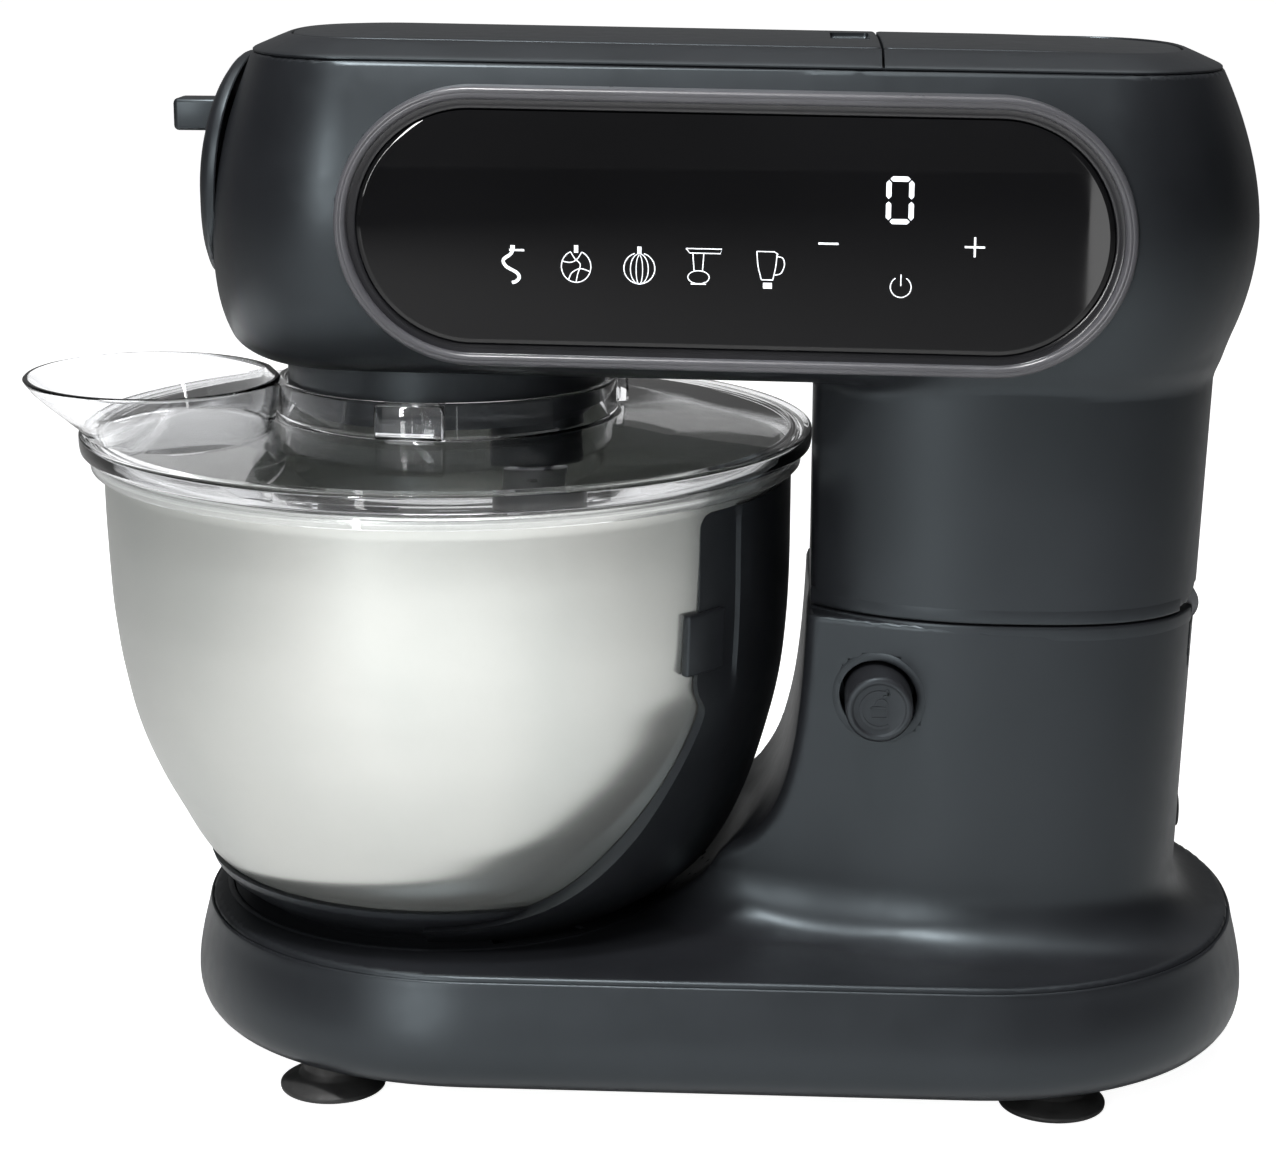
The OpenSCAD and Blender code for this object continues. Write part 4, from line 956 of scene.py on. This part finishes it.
button_profile = [(10.3, -40), (10.3, -2.0), (10.2, -1.2), (9.9, -0.5), (9.3, -0.1), (8.6, 0.0), (8.2, -0.15),
                  (7.9, -0.5), (7.6, -0.6), (4, -0.6), (0.01, -0.6)]
make("release_button_cap", turned_about(button_profile, (BUTTON_X, -68, BUTTON_Z), (0, -1, 0)), "button",
     "soft_black", ["release_button"], 35)


def button_point(p):
    return np.column_stack([BUTTON_X + p[:, 0], -67.4 - p[:, 2], BUTTON_Z + p[:, 1]])


# A generic padlock inside a turning arrow
glyph = [(arc(0, 0, 5.6, 5.6, 60, 300, 30), 0.9), ([(2.0, 6.4), (2.9, 4.8), (1.2, 4.0)], 0.9),
         ([(-2.4, 0.6), (2.4, 0.6), (2.4, -2.6), (-2.4, -2.6), (-2.4, 0.6)], 0.8),
         (arc(0.6, 0.9, 1.7, 2.2, 0, 165, 14), 0.8)]
make("release_button_mark", raised(glyph, 0.3, button_point), "button", "soft_black", ["release_button"], 30)


# ---------- bowl, jacket and foot ring

WALL, BOWL_FLOOR_Z = 1.2, 50.0
heights = np.concatenate([np.linspace(BOWL_FLOOR_Z, 60, 12), np.linspace(62, 184.5, 56)])
outside = [(steel_r(z), z) for z in heights]
lip = [(109.6, 186.2), (110.2, 186.9), (110.45, 187.9), (110.3, 189.0), (109.7, 189.8), (108.9, 190.1),
       (108.2, 189.8), (107.9, 189.0), (107.9, 187.5)]
inside = [(r - WALL, z + (WALL if z < 51 else 0)) for r, z in outside[::-1]]
profile = [(0.01, BOWL_FLOOR_Z)] + outside + lip + inside + [(0.01, BOWL_FLOOR_Z + WALL)]
make("steel_bowl", lathe(profile, 200, (BOWL_X, 0), closed=False), "bowl_set", "polished_steel", ["bowl"], 30)


KNEE_Z = 124                    # where the jacket's sides widen


def soft_step(z, middle, width):
    """A soft step from 0 below to 1 above."""
    return 1 / (1 + math.exp(-(z - middle) / width))


def jacket_edge(z):
    """The angle where the jacket's side edge runs at a height."""
    low = math.degrees(math.asin(min((65.0 + 0.2 * max(KNEE_Z - z, 0)) / jacket_r(z), 1)))
    above = soft_step(z, KNEE_Z, 1.6)
    corner = min(max((z - 178.0) / 5.0, 0), 1)
    return low * (1 - above) + 40.0 * above - 2.6 * (1 - math.sqrt(1 - corner ** 2))


def jacket_mesh():
    """A curved wall behind the bowl that fills the room up to the steel low down."""
    zs = np.concatenate([np.linspace(43.4, 60, 22), np.linspace(62, 176, 54), np.linspace(178, 183, 9)])
    count = 121
    loops = []
    for z in zs:
        edge = jacket_edge(z)
        azimuth = np.linspace(-edge, edge, count)
        outer = jacket_r(z) - np.clip((np.abs(azimuth) - 30) / 0.6, 0, 1) * soft_step(z, 128, 2)
        filled = 1 - soft_step(z, 126, 3)
        steel = steel_r(z) + 0.25
        inner = (outer - 1.4) * (1 - filled) + steel * filled if z > 50 else np.full(count, 62.0)
        inner = np.minimum(np.maximum(inner, steel if z > 50 else 0), outer - 0.7)
        a = np.radians(azimuth)
        walls = [np.column_stack([BOWL_X + r * np.cos(a), r * np.sin(a)]) for r in (outer, inner)]
        loops.append(at_height(np.vstack([walls[0], walls[1][::-1]]), z))
    return rings(loops, cap_first=True, cap_last=True)


make("bowl_jacket_shell", jacket_mesh(), "bowl_set", "satin_black", ["bowl_jacket"], 28)


def on_jacket(az, z, out):
    r = jacket_r(z) + out
    return BOWL_X + r * math.cos(math.radians(az)), r * math.sin(math.radians(az)), z


# The clip at the jacket's near edge, and its twin on the far side
for k, side_sign in enumerate((-1, 1)):
    bm = bmesh.new()
    corners = [bm.verts.new(Vector(on_jacket(side_sign * az, z, out)) * MM) for out in (-2.2, 0.9)
               for az, z in ((34.5, 134), (43.2, 134), (43.2, 153), (34.5, 153))]
    for face in ((0, 1, 2, 3), (7, 6, 5, 4), (0, 4, 5, 1), (1, 5, 6, 2), (2, 6, 7, 3), (3, 7, 4, 0)):
        bm.faces.new([corners[i] for i in face])
    bmesh.ops.recalc_face_normals(bm, faces=bm.faces[:])
    round_edges(bm, 0.8, 3)
    make("jacket_clip_%d" % (k + 1), taken_out(bm), "bowl_set", "satin_black", ["bowl_jacket"], 40)

# The black cup under the steel, which ends in the foot ring
foot = rounded([(58.5, 39.6), (61.5, 39.6), (62.6, 43), (66.5, 46.6), (71, 49.4), (75.6, 53), (78.6, 56.4),
                (79.4, 58.7)], 0.8)
foot += [(steel_r(z) + 0.3, z) for z in np.linspace(58.9, 51.5, 9)]
foot += [(62, 49.8), (58.5, 49.5), (58.5, 39.6)]
make("bowl_foot_ring", lathe(foot, 160, (BOWL_X, 0), closed=False), "bowl_set", "satin_black", [], 35)


# ---------- splash lid and chute

lid_profile = rounded([(112.2, 191.0), (112.2, 186.2), (113.2, 186.2), (113.4, 191.6), (116.3, 191.8),
                       (116.6, 194), (116.6, 196.9), (115.8, 197.6), (112, 197.7), (80, 199.8), (55.6, 201.1),
                       (54.3, 202.2), (54.2, 211.8), (53.8, 212.4), (52.0, 212.4), (51.4, 211.8),
                       (51.3, 199.8), (80, 197.9), (110, 195.6), (112.2, 191.0)], 0.5, 4)
make("splash_lid_ring", lathe(lid_profile, 200, (BOWL_X, 0), closed=False), "lid", "clear_plastic",
     ["splash_lid"], 32)

for k, azimuth in enumerate((-95, 25, 145)):
    turn = Matrix.Translation((BOWL_X * MM, 0, 0)) @ Matrix.Rotation(math.radians(azimuth), 4, "Z")
    block("lid_tab_%d" % (k + 1), (52.4, -10.5, 201.6), (58.4, 10.5, 212.2), 0.8, "lid", "clear_plastic",
          matrix=turn, segments=2)


def chute_mesh():
    """A flared scoop on the lid, open at both ends, skinned up its outside and down its inside."""
    azimuth = math.radians(200)
    u, v = np.array([(math.cos(azimuth), math.sin(azimuth)), (-math.sin(azimuth), math.cos(azimuth))])
    t = np.linspace(0, 2 * np.pi, 121)[:-1]
    # Height, middle, half length and half width
    levels = [(198.0, 86.0, 29.0, 38.0), (201.0, 87.0, 30.5, 39.5), (205.0, 89.0, 33.2, 41.3),
              (209.0, 91.0, 36.0, 43.0), (212.5, 92.7, 38.0, 44.4), (215.2, 93.6, 39.1, 45.2),
              (216.0, 93.8, 39.4, 45.4)]
    rim = (216.5, 93.8, 39.3, 45.3)

    def loop(level, inset):
        z, mid, half_length, half_width = level
        across = mid + (half_length - inset) * np.cos(t)
        across = np.clip(across, 55.2 + inset, 115.0 + 1.4 * (z - 198.0) - inset * 0.5)
        side = (half_width - inset) * np.sin(t)
        return at_height((BOWL_X, 0) + np.outer(across, u) + np.outer(side, v), z)

    return rings([loop(level, 0.0) for level in levels] + [loop(rim, 0.4), loop(rim, 1.4)]
                 + [loop(level, 2.0) for level in levels[::-1]], closed=True)


make("pouring_chute_shell", chute_mesh(), "lid", "clear_plastic", ["pouring_chute"], 40)


# ---------- cord gland and feet

gland = [(3.4, 0), (7.4, 0), (7.4, 3), (5.9, 3.2), (5.9, 24.2), (5.5, 24.8), (4.1, 25.0), (3.4, 24.4)]
make("cord_gland_sleeve", turned_about(gland, (148, 0, GLAND_Z), (1, 0, 0), 64, closed=True), "stand",
     "rubber", ["cord_gland"], 35)

suction_foot = rounded([(0.01, 9.2), (8.8, 9.2), (9.2, 6.4), (10.6, 4.6), (14.6, 2.7), (16.4, 1.5),
                        (16.3, 0.2), (15.4, 0.02), (13.4, 0.7), (8, 2.0), (0.01, 2.6)], 0.5, 4)
feet = [lathe(suction_foot, 72, (x, y), closed=False) for x in (-94.5, 128.5) for y in (-73.7, 73.7)]
make("suction_feet_set", merged(*feet), "stand", "rubber", ["suction_feet"], 40)


# ---------- camera, light and floor

CAMERA = Vector((45.63, -897.52, 365.4)) * MM
YAW, PITCH, ROLL, LENS = math.radians(3.15), math.radians(13.65), math.radians(0.20), 80.58

scene = bpy.context.scene
forward = Vector((-math.sin(YAW) * math.cos(PITCH), math.cos(YAW) * math.cos(PITCH), -math.sin(PITCH)))
right = Vector((math.cos(YAW), math.sin(YAW), 0))
up = right.cross(forward)
side = math.cos(ROLL) * right + math.sin(ROLL) * up
top = -math.sin(ROLL) * right + math.cos(ROLL) * up
camera = bpy.data.objects.new("camera", bpy.data.cameras.new("camera"))
camera.data.lens = LENS
camera.data.sensor_width = 36
camera.data.clip_start = 0.05
camera.data.clip_end = 60
camera.matrix_world = Matrix.Translation(CAMERA) @ Matrix((side, top, -forward)).transposed().to_4x4()
scene.collection.objects.link(camera)
scene.camera = camera
scene.view_settings.view_transform = "Standard"


def studio_world():
    """White to the camera; to everything else a bright ceiling, dark sides and a soft glow from the front."""
    world = bpy.data.worlds.new("studio")
    world.use_nodes = True
    scene.world = world
    tree = world.node_tree
    back = tree.nodes["Background"]
    back.inputs["Color"].default_value = (1, 1, 1, 1)

    def new(kind, *inputs, **values):
        made = tree.nodes.new(kind)
        for key, value in values.items():
            setattr(made, key, value)
        for k, value in enumerate(inputs):
            if hasattr(value, "is_linked"):
                tree.links.new(value, made.inputs[k])
            elif value is not None:
                made.inputs[k].default_value = value
        return made

    def grade(value, low, high, to_low, to_high):
        made = new("ShaderNodeMapRange", value, interpolation_type="SMOOTHSTEP")
        for k, number in enumerate((low, high, to_low, to_high)):
            made.inputs[k + 1].default_value = number
        return made.outputs[0]

    ray = tree.nodes.new("ShaderNodeTexCoord").outputs["Generated"]
    height = new("ShaderNodeSeparateXYZ", ray).outputs["Z"]

    def towards(x, y, z=0.0):
        return new("ShaderNodeVectorMath", ray, (x, y, z), operation="DOT_PRODUCT").outputs["Value"]

    sides = grade(towards(-1, 0), -0.6, 0.9, WORLD_RIGHT, WORLD_LEFT)
    front = grade(towards(-math.sin(FRONT_AZ), -math.cos(FRONT_AZ)), 0.6, 1.0, 0.0, WORLD_FRONT)
    behind = grade(towards(0, 1), 0.45, 0.85, 0.0, WORLD_BACK)
    glow = new("ShaderNodeMath", new("ShaderNodeMath", sides, front).outputs[0], behind)
    ceiling = grade(height, 0.4, 0.95, 0.0, 1.0)
    total = new("ShaderNodeMix", ceiling, data_type="FLOAT")
    tree.links.new(glow.outputs[0], total.inputs["A"])
    total.inputs["B"].default_value = WORLD_TOP
    path = tree.nodes.new("ShaderNodeLightPath").outputs
    direct = new("ShaderNodeMath", path["Is Camera Ray"], path["Is Transmission Ray"], operation="MAXIMUM")
    seen = new("ShaderNodeMix", direct.outputs[0], data_type="FLOAT")
    tree.links.new(total.outputs["Result"], seen.inputs["A"])
    seen.inputs["B"].default_value = 1.0
    tree.links.new(seen.outputs["Result"], back.inputs["Strength"])


# Brightness of the studio towards each side, and where its front glow is centred
FRONT_AZ = math.radians(6)
WORLD_RIGHT, WORLD_LEFT, WORLD_FRONT, WORLD_BACK, WORLD_TOP = 0.0, 0.02, 0.2, 0.16, 0.2
studio_world()


def area_light(name, place, target, size, power):
    lamp = bpy.data.lights.new(name, "AREA")
    lamp.shape = "RECTANGLE"
    lamp.size, lamp.size_y = size
    lamp.energy = power
    obj = bpy.data.objects.new(name, lamp)
    obj.location = Vector(place)
    obj.rotation_euler = (Vector(target) - Vector(place)).to_track_quat("-Z", "Y").to_euler()
    obj.visible_camera = False
    scene.collection.objects.link(obj)
    return obj


# The places here are in metres
area_light("key_softbox", (-0.82, -1.95, 0.8), (-0.02, 0, 0.17), (0.1, 1.3), 21)
area_light("top_softbox", (0.0, 0.15, 1.7), (0, 0, 0.1), (1.6, 1.0), 10)
area_light("small_top_light", (-0.24, -0.5, 1.5), (0.03, 0, 0.1), (0.1, 0.1), 17)
pool = area_light("table_light", (-0.02, -0.62, 1.25), (-0.02, -0.5, 0), (0.4, 0.3), 3.0)
pool.data.spread = math.radians(60)
pool.visible_glossy = False
area_light("front_card", (0.293, -1.573, 0.09), (0.1, 0, 0.27), (0.022, 0.18), 0.04)

floor_mesh = bpy.data.meshes.new("floor")
FLOOR_Z = -0.0006
floor_corners = [(x, y, FLOOR_Z) for x, y in ((-20, -3), (20, -3), (20, 40), (-20, 40))]
floor_mesh.from_pydata(floor_corners, [], [(0, 1, 2, 3)])
floor = bpy.data.objects.new("floor", floor_mesh)
scene.collection.objects.link(floor)
floor_material = new_material("floor", (0.6, 0.6, 0.6), 0.6)
seen = node(floor_material, "ShaderNodeLightPath")
direct = node(floor_material, "ShaderNodeMath", operation="MAXIMUM")
link(floor_material, seen.outputs["Is Camera Ray"], direct.inputs[0])
link(floor_material, seen.outputs["Is Transmission Ray"], direct.inputs[1])
lift = node(floor_material, "ShaderNodeMath", operation="MULTIPLY")
link(floor_material, direct.outputs[0], lift.inputs[0])
lift.inputs[1].default_value = 0.95
bsdf_input(floor_material, "Emission Color").default_value = (1, 1, 1, 1)
link(floor_material, lift.outputs[0], bsdf_input(floor_material, "Emission Strength"))
floor_mesh.materials.append(floor_material)
